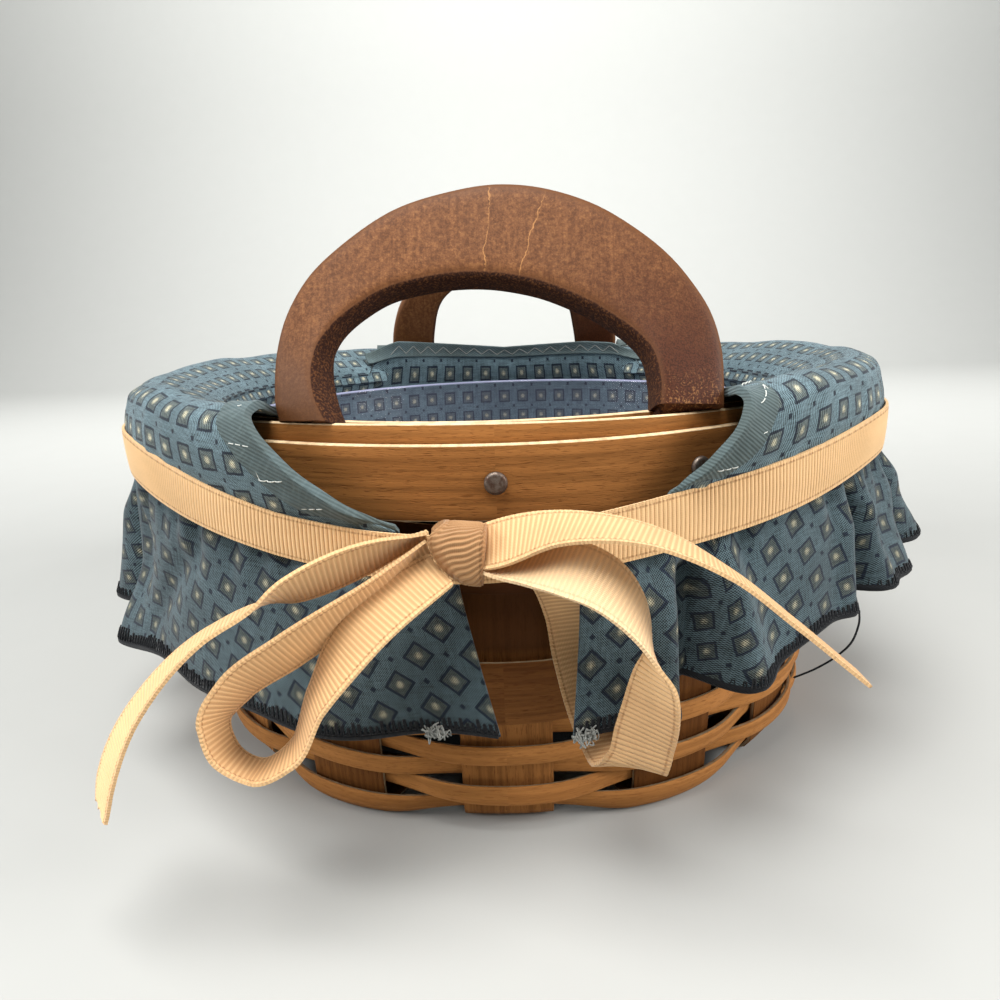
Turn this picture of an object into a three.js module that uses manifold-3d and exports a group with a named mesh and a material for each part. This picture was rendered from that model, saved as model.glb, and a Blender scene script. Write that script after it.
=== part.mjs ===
// Round splint basket with a gathered cloth liner, a ribbon bow, two leather handles and a clear insert.
// Millimetres, +Z up, the middle of the base on the table at the origin, the bow at the front (-Y).
// Angles run round the basket from the front (-Y) towards the right (+X).
import * as THREE from 'three';
import { mergeVertices } from 'three/addons/utils/BufferGeometryUtils.js';
import Module from 'manifold-3d';

const wasm = await Module();
wasm.setup();

const degrees = THREE.MathUtils.degToRad;
const lerp = THREE.MathUtils.lerp;

// Clearance between pieces that touch
const FIT = 0.3;

// Basket body
const RIM_RADIUS = 87;
const RIM_HEIGHT = 83.2;
const BASE_INSET = 8;
const CORNER_RADIUS = 4;

// Splints that cross the base and stand up as two uprights each
const SPLINT_COUNT = 7;
const SPLINT_WIDTH = 19;
const SPLINT_THICK = 1;
const HUB_WIDTH = 7.6;
const HUB_SLOPE = 17;
const SPLINT_TOP_DROP = 2;

// Weavers, narrow rows at the foot and wide rows above them
const NARROW_ROWS = 5;
const NARROW_WIDTH = 4.3;
const WIDE_ROWS = 3;
const WEAVER_THICK = 1;
const WEAVER_BULGE = 0.6;
const TABLE_GAP = 0.1;

// Rim, from the outside in: trim band, backing strip, leather tabs, inner band
const TRIM_HEIGHT = 14;
const TRIM_THICK = 1.5;
const TRIM_DROP = 3;
const BACKING_HEIGHT = 17;
const BACKING_THICK = 1.2;
const INNER_HEIGHT = 17;
const INNER_THICK = 1.3;

// Tacks through the rim
const TACK_HEAD_RADIUS = 2.2;
const TACK_HEAD_HEIGHT = 1.1;
const TACK_HEAD_EDGE = 0.33;
const TACK_SHANK_RADIUS = 0.7;
const SIDE_TACK_ANGLE = 90;

// Leather handles
const HANDLE_WIDTH = 82.8;
const HANDLE_LEG_WIDTH = 13.6;
const HANDLE_RISE = 42.6;
const HANDLE_CROWN_FRONT = 19.2;
const HANDLE_CROWN_REAR = 11.8;
const HANDLE_LEG_HEIGHT = 6;
const HANDLE_THICK = 6;
const HANDLE_EDGE = 0.8;
const HANDLE_LEAN = 24;
const TAB_THICK = 2.4;
const TAB_DEPTH = 16.5;

// Cloth liner: bowl, rolled collar, facings and gathered skirt
const CLOTH = 0.8;
const BOWL_CORNER = 4;
const NECK_HEIGHT = 7;
const NECK_DROP = 1;
const NECK_PLAY = 1.1;
const ROLL_OUT = 8.4;
const ROLL_RISE_FRONT = 2.6;
const ROLL_RISE_SIDE = 7.3;
const ROLL_SWEEP = 110;
const ROLL_LIFT = 1.2;
const COLLAR_GAP = 2.2;
const NECK_ANGLE_LEFT = 11;
const NECK_ANGLE_RIGHT = 19;
const NECK_ANGLE_REAR = 15;
const FACING_WIDTH = 7;
const FACING_RISE = 6;
const FACING_LEAN = 4;
const TIE_OUT_FRONT = 2.8;
const TIE_OUT_SIDE = 7.6;
const TIE_DROP_FRONT = 20.7;
const TIE_DROP_SIDE = 9.2;
const TIE_SWEEP = 60;
const SKIRT_LENGTH_FRONT = 31.5;
const SKIRT_LENGTH_LEFT = 42;
const SKIRT_LENGTH_RIGHT = 30;
const HEM_OUT = 12;
const FOLD_COUNT = 11;
const FOLD_DEPTH = 4.2;
const SMALL_FOLD_COUNT = 8;
const SMALL_FOLD_DEPTH = 1.5;
const FLARE_POWER = 0.7;
const SLIT_LEFT_TOP = 5.2;
const SLIT_LEFT_HEM = 1;
const SLIT_RIGHT_TOP = 6.5;
const SLIT_RIGHT_HEM = 7.5;
const SLIT_REAR = 3;

// Ribbon and bow
const RIBBON_WIDTH = 10;
const RIBBON_THICK = 0.6;
const KNOT_ANGLE = -4;
const KNOT_WIDTH = 12.6;
const KNOT_HEIGHT = 13;
const KNOT_DEPTH = 8.4;
const BOW_PINCH = 0.55;
const PINCH_SHARE = 0.25;

// Clear insert
const INSERT_WALL = 1;
const INSERT_CORNER = 5;
const INSERT_DROP = 8;
const INSERT_PLAY = 0.6;

// Steps of the round shapes
const STEPS_OVER_UPRIGHT = 2;
const CORNER_STEPS = 3;
const BAND_STEPS = 48;
const LATHE_STEPS = 40;
const BORE_SIDES = 6;
const COLLAR_STEPS = 16;
const STEPS_PER_FOLD = 5;
const TACK_SIDES = 8;
const KNEE_SIDES = 12;
const ARCH_STEPS = 11;
const SECTION_STEP = 0.004;

// Materials
function finish(color, roughness, metalness = 0) {
  return new THREE.MeshStandardMaterial({ color, roughness, metalness });
}

const maple = finish(0xb9834b, 0.55);
const weaverMaple = finish(0xc08a50, 0.55);
const steel = finish(0x6d6258, 0.45, 0.8);
const leather = finish(0x5f3a22, 0.6);
const print = finish(0x5d7a8c, 0.9);
const twill = finish(0x4c6068, 0.9);
const grosgrain = finish(0xd9a566, 0.8);
const clearPlastic = new THREE.MeshStandardMaterial({
  color: 0xdfe6f2,
  roughness: 0.1,
  transparent: true,
  opacity: 0.3,
});

// Wall of the basket: radius of the middle of the uprights at a height
const wallTopRadius = RIM_RADIUS - TRIM_THICK - BACKING_THICK - 2 * FIT - SPLINT_THICK / 2;
const baseRadius = RIM_RADIUS - BASE_INSET;
const wallLean = Math.atan2(wallTopRadius - baseRadius, RIM_HEIGHT);
const wallRadius = (z) => baseRadius + z * Math.tan(wallLean);
const uprightPitch = Math.PI / SPLINT_COUNT;
const railBottom = RIM_HEIGHT - Math.max(TRIM_DROP + TRIM_HEIGHT, BACKING_HEIGHT, INNER_HEIGHT);

// Corner between base and wall, an arc about this centre
const cornerHeight = SPLINT_THICK / 2 + CORNER_RADIUS;
const cornerCentre = wallRadius(cornerHeight) - CORNER_RADIUS / Math.cos(wallLean);
const cornerLength = CORNER_RADIUS * (Math.PI / 2 - wallLean);

// Point and outward normal of the wall at a length along it, counted from the start of the corner
function wallAt(length) {
  const slope = Math.min(length, cornerLength) / CORNER_RADIUS - Math.PI / 2;
  const along = Math.max(length - cornerLength, 0);
  const nr = Math.cos(slope);
  const nz = Math.sin(slope);
  return {
    r: cornerCentre + CORNER_RADIUS * nr - along * nz,
    z: cornerHeight + CORNER_RADIUS * nz + along * nr,
    nr,
    nz,
  };
}

// Point at a radius, an angle round the basket and a height
function around(radius, angle, z) {
  return new THREE.Vector3(radius * Math.sin(angle), -radius * Math.cos(angle), z);
}

// Closed plate with a back and a front face: point(u, v, side) with u along it, v across it, side 0 or 1
function plate(us, vs, point, ring = false) {
  const columns = us.length;
  const rows = vs.length;
  const positions = [];
  for (const side of [0, 1]) {
    for (const u of us) {
      for (const v of vs) {
        positions.push(...point(u, v, side).toArray());
      }
    }
  }
  const at = (side, i, j) => (side * columns + (i % columns)) * rows + j;
  const index = [];
  const quad = (a, b, c, d) => index.push(a, b, c, a, c, d);
  const last = ring ? columns : columns - 1;
  for (let i = 0; i < last; i += 1) {
    for (let j = 0; j < rows - 1; j += 1) {
      quad(at(1, i, j), at(1, i + 1, j), at(1, i + 1, j + 1), at(1, i, j + 1));
      quad(at(0, i, j), at(0, i, j + 1), at(0, i + 1, j + 1), at(0, i + 1, j));
    }
    quad(at(0, i, 0), at(0, i + 1, 0), at(1, i + 1, 0), at(1, i, 0));
    quad(at(0, i + 1, rows - 1), at(0, i, rows - 1), at(1, i, rows - 1), at(1, i + 1, rows - 1));
  }
  if (!ring) {
    for (let j = 0; j < rows - 1; j += 1) {
      quad(at(0, 0, j + 1), at(0, 0, j), at(1, 0, j), at(1, 0, j + 1));
      quad(at(0, last, j), at(0, last, j + 1), at(1, last, j + 1), at(1, last, j));
    }
  }
  const geometry = new THREE.BufferGeometry();
  geometry.setAttribute('position', new THREE.Float32BufferAttribute(positions, 3));
  geometry.setIndex(volumeOf(positions, index) < 0 ? index.toReversed() : index);
  return geometry;
}

// Signed volume of a closed triangle mesh, negative when its faces point in
function volumeOf(positions, index) {
  const corner = (k) => new THREE.Vector3().fromArray(positions, 3 * index[k]);
  let volume = 0;
  for (let k = 0; k < index.length; k += 3) {
    volume += corner(k).dot(corner(k + 1).cross(corner(k + 2))) / 6;
  }
  return volume;
}

// Evenly spaced values from one end to the other, both included
const spaced = (from, to, steps) => Array.from({ length: steps + 1 }, (_, i) => lerp(from, to, i / steps));

// Angles of a full ring, the first not repeated
const ringAngles = (steps) => Array.from({ length: steps }, (_, i) => (i / steps) * 2 * Math.PI);

// Solid of revolution about Z from [radius, height] pairs that start and end on the axis
function turned(profile, steps) {
  const points = profile.map(([radius, z]) => new THREE.Vector2(radius, z));
  return bare(new THREE.LatheGeometry(points, steps).rotateX(Math.PI / 2));
}

// Geometry with positions alone and its shared corners merged
function bare(geometry) {
  geometry.deleteAttribute('normal');
  geometry.deleteAttribute('uv');
  return mergeVertices(geometry, 1e-4);
}

const toSolid = (geometry) => new wasm.Manifold(new wasm.Mesh({
  numProp: 3,
  vertProperties: new Float32Array(geometry.attributes.position.array),
  triVerts: new Uint32Array(geometry.index.array),
}));

function toGeometry(solid) {
  const mesh = solid.getMesh();
  const geometry = new THREE.BufferGeometry();
  geometry.setAttribute('position', new THREE.BufferAttribute(mesh.vertProperties, 3));
  geometry.setIndex(new THREE.BufferAttribute(mesh.triVerts, 1));
  return geometry;
}

const cut = (geometry, cutters) => toGeometry(cutters.reduce(
  (solid, cutter) => solid.subtract(toSolid(cutter)),
  toSolid(geometry),
));

const basket = new THREE.Group();

function add(name, geometry, material, parent = basket) {
  const mesh = new THREE.Mesh(geometry, material);
  mesh.name = name;
  parent.add(mesh);
  return mesh;
}

// Handle legs stand on tabs between the uprights and the inner band
const tabOutside = (z) => wallRadius(z) - SPLINT_THICK / 2 - FIT;
const innerOutside = (z) => tabOutside(z) - TAB_THICK - FIT;
const tabRadius = tabOutside(RIM_HEIGHT) - TAB_THICK / 2;
const legCentre = (HANDLE_WIDTH - HANDLE_LEG_WIDTH) / 2;
const legAngle = Math.asin(legCentre / tabRadius);
const legPlane = tabRadius * Math.cos(legAngle);

// Tacks sit at the middle of the trim band, over each leg, midway between the legs and at the sides
const tackHeight = RIM_HEIGHT - TRIM_DROP - TRIM_HEIGHT / 2;
const tackSeat = wallRadius(tackHeight) + SPLINT_THICK / 2 + BACKING_THICK + TRIM_THICK + 3 * FIT;
const tackDepth = tackSeat - innerOutside(tackHeight) + INNER_THICK;
const sideAngle = degrees(SIDE_TACK_ANGLE);
const tackAngles = {
  front_centre: 0,
  front_right: legAngle,
  side_right: sideAngle,
  rear_right: Math.PI - legAngle,
  rear_centre: Math.PI,
  rear_left: Math.PI + legAngle,
  side_left: -sideAngle,
  front_left: -legAngle,
};

// Turns a solid made along Z so that Z points outwards at an angle round the rim
function pointOutwards(geometry, angle, radius, z) {
  geometry.rotateX(Math.PI / 2).rotateZ(angle);
  const place = around(radius, angle, z);
  return geometry.translate(place.x, place.y, place.z);
}

// Hole for a tack through every layer of the rim
function tackHole(angle) {
  const radius = TACK_SHANK_RADIUS + FIT;
  const hole = new THREE.CylinderGeometry(radius, radius, 2 * tackDepth, BORE_SIDES).rotateX(Math.PI / 2);
  return pointOutwards(bare(hole), angle, tackSeat - tackDepth / 2, tackHeight);
}

const tackHoles = Object.values(tackAngles).map(tackHole);

// Splints: stacked on each other at the hub, flat on the table outside it, bent up into the wall
const hubRadius = (HUB_WIDTH / 2 + FIT) / Math.tan(uprightPitch / 2);
const fullWidthRadius = (SPLINT_WIDTH / 2 + FIT) / Math.tan(uprightPitch / 2);
const splintLayer = SPLINT_THICK + FIT;
const hubTop = (SPLINT_COUNT - 1) * splintLayer + SPLINT_THICK;
const wallEnd = (RIM_HEIGHT - SPLINT_TOP_DROP - cornerHeight) / Math.cos(wallLean) + cornerLength;

function splintWidth(radius) {
  const share = (radius - hubRadius) / (fullWidthRadius - hubRadius);
  return lerp(HUB_WIDTH, SPLINT_WIDTH, THREE.MathUtils.clamp(share, 0, 1));
}

function splintStations(layer) {
  const table = SPLINT_THICK / 2;
  const flat = (r, z) => ({ r, z, nr: 0, nz: -1, width: splintWidth(r), bent: false });
  const onWall = (length) => ({ ...wallAt(length), width: SPLINT_WIDTH, bent: true });
  const half = [
    flat(hubRadius, table + layer * splintLayer),
    flat(hubRadius + HUB_SLOPE, table),
    flat(fullWidthRadius, table),
    flat(cornerCentre - SPLINT_THICK, table),
    ...spaced(0, cornerLength, CORNER_STEPS).map(onWall),
    ...spaced(cornerLength, wallEnd, 2).slice(1).map(onWall),
  ];
  const otherHalf = half.map((station) => ({ ...station, far: true }));
  return [...otherHalf.toReversed(), ...half];
}

function splint(layer) {
  const angle = layer * uprightPitch;
  const point = (station, v, side) => {
    const { r, z, nr, nz, width, bent } = station;
    const offset = (side - 0.5) * SPLINT_THICK;
    const across = (v * width) / 2;
    const out = r + nr * offset;
    const heading = station.far ? angle + Math.PI : angle;
    const sideways = station.far ? -across : across;
    const height = z + nz * offset;
    if (bent) {
      return around(out, heading + sideways / r, height);
    }
    return around(out, heading, height).add(around(sideways, heading + Math.PI / 2, 0));
  };
  return plate(splintStations(layer), [-1, 0, 1], point);
}

for (let layer = 0; layer < SPLINT_COUNT; layer += 1) {
  add(`splint_${layer + 1}`, cut(splint(layer), tackHoles), maple);
}

// Weavers: closed rings that pass outside one upright and inside the next
const weaveOffset = SPLINT_THICK / 2 + FIT + WEAVER_THICK / 2;
const weaveReach = weaveOffset + WEAVER_BULGE + WEAVER_THICK / 2;
const firstRowStart = CORNER_RADIUS
  * (Math.PI / 2 - Math.asin((cornerHeight - TABLE_GAP) / (CORNER_RADIUS + weaveReach)));
const narrowPitch = NARROW_WIDTH + FIT;
const wideStart = firstRowStart + NARROW_ROWS * narrowPitch;
const wideEnd = cornerLength + (railBottom - cornerHeight) / Math.cos(wallLean) - FIT;
const widePitch = (wideEnd - wideStart) / WIDE_ROWS;
const overAngle = (SPLINT_WIDTH / 2 + FIT) / baseRadius;

function weaver(row, start, width) {
  const angles = ringAngles(2 * SPLINT_COUNT).flatMap((middle, upright) => {
    const outside = (upright + row) % 2 === 0 ? 1 : -1;
    return spaced(-overAngle, overAngle, STEPS_OVER_UPRIGHT).map((turn) => ({
      angle: middle + turn,
      offset: outside * (weaveOffset + WEAVER_BULGE * (1 - (turn / overAngle) ** 2)),
    }));
  });
  const point = (station, v, side) => {
    const wall = wallAt(start + v * width);
    const offset = station.offset + (side - 0.5) * WEAVER_THICK;
    return around(wall.r + wall.nr * offset, station.angle, wall.z + wall.nz * offset);
  };
  const across = start < cornerLength ? CORNER_STEPS : 1;
  return plate(angles, spaced(0, 1, across), point, true);
}

for (let row = 1; row <= NARROW_ROWS; row += 1) {
  const start = firstRowStart + (row - 1) * narrowPitch;
  add(`weaver_${row}`, weaver(row, start, NARROW_WIDTH), weaverMaple);
}
for (let row = 1; row <= WIDE_ROWS; row += 1) {
  const number = NARROW_ROWS + row;
  const start = wideStart + (row - 1) * widePitch;
  add(`weaver_${number}`, weaver(number, start, widePitch - FIT), weaverMaple);
}

// Rim bands follow the wall at an offset from the middle of the uprights
function band(top, height, insideRadius, thick) {
  const point = (angle, v, side) => {
    const z = top - height + v * height;
    return around(insideRadius(z) + side * thick, angle, z);
  };
  return cut(plate(ringAngles(BAND_STEPS), [0, 1], point, true), tackHoles);
}

const backingInside = (z) => wallRadius(z) + SPLINT_THICK / 2 + FIT;
const trimInside = (z) => backingInside(z) + BACKING_THICK + FIT;
const innerInside = (z) => innerOutside(z) - INNER_THICK;
add('rim_trim_band', band(RIM_HEIGHT - TRIM_DROP, TRIM_HEIGHT, trimInside, TRIM_THICK), maple);
add('rim_backing_strip', band(RIM_HEIGHT, BACKING_HEIGHT, backingInside, BACKING_THICK), maple);
add('rim_inner_band', band(RIM_HEIGHT, INNER_HEIGHT, innerInside, INNER_THICK), maple);

// Tacks: domed head on a straight shank
function tack(angle) {
  const dome = spaced(0, Math.PI / 2, 2).map((turn) => [
    TACK_HEAD_RADIUS * Math.cos(turn),
    tackDepth + lerp(TACK_HEAD_EDGE, TACK_HEAD_HEIGHT, Math.sin(turn)),
  ]);
  dome[dome.length - 1][0] = 0;
  const profile = [
    [0, 0],
    [TACK_SHANK_RADIUS, 0],
    [TACK_SHANK_RADIUS, tackDepth],
    [TACK_HEAD_RADIUS, tackDepth],
    ...dome,
  ];
  return pointOutwards(turned(profile, TACK_SIDES), angle, tackSeat - tackDepth, tackHeight);
}

for (const [place, angle] of Object.entries(tackAngles)) {
  add(`tack_${place}`, tack(angle), steel);
}

// Leather handles: an arch that flexes just above the rim, and a thinned tab under each leg
const kneeRadius = HANDLE_THICK / 2 - FIT / 2;
const kneeHeight = RIM_HEIGHT + FIT + kneeRadius;

function archOutline(crown) {
  const outside = HANDLE_WIDTH / 2;
  const inside = outside - HANDLE_LEG_WIDTH;
  const outsideRise = HANDLE_RISE - HANDLE_LEG_HEIGHT;
  const insideRise = outsideRise - crown;
  const shape = new THREE.Shape();
  shape.moveTo(-outside, 0);
  shape.lineTo(-outside, HANDLE_LEG_HEIGHT);
  shape.absellipse(0, HANDLE_LEG_HEIGHT, outside, outsideRise, Math.PI, 0, true);
  shape.lineTo(outside, 0);
  shape.lineTo(inside, 0);
  shape.lineTo(inside, HANDLE_LEG_HEIGHT);
  shape.absellipse(0, HANDLE_LEG_HEIGHT, inside, insideRise, 0, Math.PI, false);
  shape.lineTo(-inside, 0);
  return shape;
}

function handleArch(crown) {
  const slab = new THREE.ExtrudeGeometry(archOutline(crown), {
    depth: HANDLE_THICK - 2 * HANDLE_EDGE,
    bevelThickness: HANDLE_EDGE,
    bevelSize: HANDLE_EDGE,
    bevelOffset: -HANDLE_EDGE,
    bevelSegments: 1,
    curveSegments: ARCH_STEPS,
  });
  slab.translate(0, 0, HANDLE_EDGE - HANDLE_THICK / 2);
  const knees = [-legCentre, legCentre].map((x) => {
    const length = HANDLE_LEG_WIDTH - 2 * HANDLE_EDGE;
    const knee = new THREE.CylinderGeometry(kneeRadius, kneeRadius, length, KNEE_SIDES);
    return toSolid(bare(knee.rotateZ(Math.PI / 2).translate(x, 0, 0)));
  });
  return toGeometry(knees.reduce((solid, knee) => solid.add(knee), toSolid(bare(slab))));
}

function handleTab(side) {
  const half = HANDLE_LEG_WIDTH / 2 / tabRadius;
  const point = (angle, v, face) => {
    const z = RIM_HEIGHT - TAB_DEPTH + v * TAB_DEPTH;
    return around(tabOutside(z) - (1 - face) * TAB_THICK, angle, z);
  };
  return plate(spaced(side * legAngle - half, side * legAngle + half, 4), [0, 1], point);
}

for (const [end, turn, crown] of [['front', 0, HANDLE_CROWN_FRONT], ['rear', Math.PI, HANDLE_CROWN_REAR]]) {
  const handle = new THREE.Group();
  handle.rotation.z = turn;
  basket.add(handle);
  const arch = add(`${end}_handle_arch`, handleArch(crown), leather, handle);
  arch.rotation.x = Math.PI / 2 - degrees(HANDLE_LEAN);
  arch.position.set(0, -legPlane, kneeHeight);
  add(`${end}_handle_tab_a`, cut(handleTab(-1), [tackHole(tackAngles.front_left)]), leather, handle);
  add(`${end}_handle_tab_b`, cut(handleTab(1), [tackHole(tackAngles.front_right)]), leather, handle);
}

// Liner bowl inside the basket: its neck leans in, clear of the handles
const bowlFloor = hubTop + FIT;
const bowlFootRadius = wallRadius(bowlFloor + BOWL_CORNER) - weaveReach - FIT;
const bowlWallRadius = innerInside(RIM_HEIGHT - INNER_HEIGHT) - FIT;
const legInside = Math.hypot(HANDLE_WIDTH / 2 - HANDLE_LEG_WIDTH, legPlane - HANDLE_THICK / 2);
const neckRadius = Math.min(legInside, bowlWallRadius) - NECK_PLAY;
const bowlTop = RIM_HEIGHT - NECK_DROP;

// Closed thin cup from the [radius, height] pairs of its outside, floor first
function cup(outside, wall) {
  const inside = outside.map(([radius, z], i) => (i < 2 ? [radius, z + wall] : [radius - wall, z]));
  inside[inside.length - 1][1] = outside[outside.length - 1][1];
  return turned([...outside, ...inside.toReversed()], LATHE_STEPS);
}

const bowlOutside = [
  [0, bowlFloor],
  [bowlFootRadius - BOWL_CORNER, bowlFloor],
  [bowlFootRadius, bowlFloor + BOWL_CORNER],
  [bowlWallRadius, bowlTop - NECK_HEIGHT],
  [neckRadius, bowlTop],
];
add('liner_bowl', cup(bowlOutside, CLOTH), print);

// Clear insert standing in the liner, narrow enough to lift out past its neck
const insertFloor = bowlFloor + CLOTH + FIT;
const insertRadius = Math.min(bowlFootRadius, neckRadius) - CLOTH - INSERT_PLAY;
const insertOutside = [
  [0, insertFloor],
  [insertRadius - INSERT_CORNER, insertFloor],
  [insertRadius, insertFloor + INSERT_CORNER],
  [insertRadius, RIM_HEIGHT - INSERT_DROP],
];
add('clear_insert', cup(insertOutside, INSERT_WALL), clearPlastic);

// Line where the ribbon ties the liner: low and close at the handles, high and wide at the sides
function tieShare(angle) {
  const fromHandle = Math.min(Math.abs(angle), Math.abs(Math.PI - Math.abs(angle)));
  const share = Math.min(fromHandle / degrees(TIE_SWEEP), 1);
  return (1 - Math.cos(Math.PI * share)) / 2;
}

const tieRadius = (angle) => RIM_RADIUS + lerp(TIE_OUT_FRONT, TIE_OUT_SIDE, tieShare(angle));
const tieHeight = (angle) => RIM_HEIGHT - lerp(TIE_DROP_FRONT, TIE_DROP_SIDE, tieShare(angle));
const ribbonHalf = RIBBON_WIDTH / 2 + FIT;

// Rolled collar: its middle stands above the rim, its inside just clear of the bowl's neck
const rollBase = RIM_HEIGHT + ROLL_LIFT;
const rollOutside = RIM_RADIUS + ROLL_OUT;
const rollInside = neckRadius - CLOTH / 2;
const rollTuck = Math.asin((rollBase - bowlTop - FIT) / ROLL_RISE_SIDE);

// Rise of the roll: flat over the rim beside the front handle, full from the sides to the rear
function rollRise(angle) {
  const share = Math.min(Math.abs(angle) / degrees(ROLL_SWEEP), 1);
  return lerp(ROLL_RISE_FRONT, ROLL_RISE_SIDE, (1 - Math.cos(Math.PI * share)) / 2);
}

// Section of the rolled collar: u from 0 inside the rim, over the roll at 0.5, to the tie at 1
function rollSection(u, angle) {
  if (u <= 0.5) {
    const rise = rollRise(angle);
    const turn = lerp(Math.PI + rollTuck, 0, 2 * u);
    const half = (rollOutside - rollInside) / 2;
    return [rollInside + half + half * Math.cos(turn), rollBase + rise * Math.sin(turn)];
  }
  const fall = rollBase - tieHeight(angle);
  const ribbonTop = 1 - ribbonHalf / fall;
  const share = Math.min((2 * u - 1) / ribbonTop, 1);
  return [lerp(rollOutside, tieRadius(angle), share * share), rollBase - fall * (2 * u - 1)];
}

// Point of the collar at a distance outwards from its section
function rollPoint(u, angle, distance) {
  const [r, z] = rollSection(u, angle);
  const [r0, z0] = rollSection(Math.max(u - SECTION_STEP, 0), angle);
  const [r1, z1] = rollSection(Math.min(u + SECTION_STEP, 1), angle);
  const length = Math.hypot(r1 - r0, z1 - z0);
  return around(r - (distance * (z1 - z0)) / length, angle, z + (distance * (r1 - r0)) / length);
}

// Angle where the collar ends beside a handle: square to the leg on top, sweeping in under the ribbon
const collarEdge = HANDLE_WIDTH / 2 + COLLAR_GAP;

function collarEnd(u, neck) {
  const radius = rollSection(Math.min(u, 0.5), Math.PI / 2)[0];
  const beside = Math.asin(collarEdge / radius);
  const fall = Math.max(2 * u - 1, 0);
  return lerp(beside, neck, fall * fall);
}

const collarSteps = [...spaced(0, 0.5, 6), ...spaced(0.5, 1, 4).slice(1)];

function collar(frontNeck) {
  const point = (share, u, side) => {
    const from = collarEnd(u, frontNeck);
    const to = Math.PI - collarEnd(u, degrees(NECK_ANGLE_REAR));
    return rollPoint(u, lerp(from, to, share), side * CLOTH);
  };
  return plate(spaced(0, 1, COLLAR_STEPS), collarSteps, point);
}

// Facing along an end of the collar, from inside the roll to the top edge of the ribbon
function facing(neck, rear) {
  const point = (u, v, side) => {
    const edge = collarEnd(u, neck) + (v * FACING_WIDTH) / rollOutside;
    const angle = rear ? Math.PI - edge : edge;
    const fall = rollBase - tieHeight(angle);
    const ribbonTop = 1 - (ribbonHalf + 3 * FIT) / fall;
    const reach = u <= 0.5 ? u : 0.5 + (u - 0.5) * ribbonTop;
    return rollPoint(reach, angle, CLOTH + FIT + side * CLOTH);
  };
  return plate(collarSteps.slice(1), [0, 1], point);
}

// Mirror image across the YZ plane, with its faces still pointing out
function mirrored(geometry) {
  geometry.scale(-1, 1, 1);
  geometry.setIndex(Array.from(geometry.index.array).toReversed());
  return geometry;
}

const necks = { left: degrees(NECK_ANGLE_LEFT), right: degrees(NECK_ANGLE_RIGHT) };
const sided = (side, geometry) => (side === 'left' ? mirrored(geometry) : geometry);
for (const side of ['left', 'right']) {
  add(`collar_${side}`, sided(side, collar(necks[side])), print);
  add(`facing_front_${side}`, sided(side, facing(necks[side], false)), twill);
  add(`facing_rear_${side}`, sided(side, facing(degrees(NECK_ANGLE_REAR), true)), twill);
}

// Facing along the liner's edge behind each handle, leaning in over the insert
function innerFacing(middle) {
  const foot = bowlTop + FIT;
  const half = Math.asin(collarEdge / neckRadius) - FIT / neckRadius;
  const point = (angle, v, side) => {
    const radius = neckRadius - FACING_LEAN * v - (1 - side) * CLOTH;
    return around(radius, middle + angle, foot + FACING_RISE * v);
  };
  return plate(spaced(-half, half, 8), [0, 1], point);
}

add('facing_rear_inner', innerFacing(Math.PI), twill);

// Gathered skirt, one half on each side: tucked behind the ribbon, then falling in folds to the hem
const skirtRows = [
  { tucked: true, fall: 0 },
  ...[0, 0.4, 0.7, 1].map((fall) => ({ tucked: false, fall })),
];

function foldDepth(share) {
  const turn = 2 * Math.PI * share;
  return FOLD_DEPTH * Math.sin(FOLD_COUNT * turn) + SMALL_FOLD_DEPTH * Math.sin(SMALL_FOLD_COUNT * turn + 1);
}

function skirt(slitTop, slitHem, sideLength) {
  const point = (share, { tucked, fall }, side) => {
    const from = lerp(slitTop, slitHem, fall);
    const angle = lerp(from, Math.PI - degrees(SLIT_REAR), share);
    const top = tieHeight(angle) - FIT;
    const hem = top - lerp(SKIRT_LENGTH_FRONT, sideLength, tieShare(angle));
    const z = tucked ? top : lerp(top - ribbonHalf, hem, fall);
    const flare = lerp(tieRadius(angle), RIM_RADIUS + HEM_OUT, fall ** FLARE_POWER);
    return around(flare + foldDepth(share) * fall + side * CLOTH, angle, z);
  };
  return plate(spaced(0, 1, STEPS_PER_FOLD * FOLD_COUNT), skirtRows, point);
}

const skirtLeft = skirt(degrees(SLIT_LEFT_TOP), degrees(SLIT_LEFT_HEM), SKIRT_LENGTH_LEFT);
const skirtRight = skirt(degrees(SLIT_RIGHT_TOP), degrees(SLIT_RIGHT_HEM), SKIRT_LENGTH_RIGHT);
add('skirt_left', mirrored(skirtLeft), print);
add('skirt_right', skirtRight, print);

// Ribbon round the liner, a closed ring that passes behind the knot
const ribbonInside = (angle) => tieRadius(angle) + CLOTH + 3 * FIT;

function ribbonBand() {
  const point = (angle, v, side) => {
    const wrapped = angle > Math.PI ? angle - 2 * Math.PI : angle;
    const z = tieHeight(wrapped) + (v - 0.5) * RIBBON_WIDTH;
    return around(ribbonInside(wrapped) + side * RIBBON_THICK, angle, z);
  };
  return plate(ringAngles(BAND_STEPS), [0, 1], point, true);
}

add('ribbon_band', ribbonBand(), grosgrain);

// Knot: a soft lump on the ribbon
const knotMiddle = degrees(KNOT_ANGLE);
const knotRadius = ribbonInside(knotMiddle) + RIBBON_THICK + FIT + KNOT_DEPTH / 2;
const knotCentre = around(knotRadius, knotMiddle, tieHeight(knotMiddle));
const knot = bare(new THREE.SphereGeometry(0.5, 12, 8));
knot.scale(KNOT_WIDTH, KNOT_DEPTH, KNOT_HEIGHT).rotateZ(knotMiddle);
add('bow_knot', knot.translate(knotCentre.x, knotCentre.y, knotCentre.z), grosgrain);

// Bow: each length of ribbon follows points from the knot, with its width along one direction
const fromKnot = ([x, y, z]) => new THREE.Vector3(x, y, z).add(knotCentre);

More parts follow.
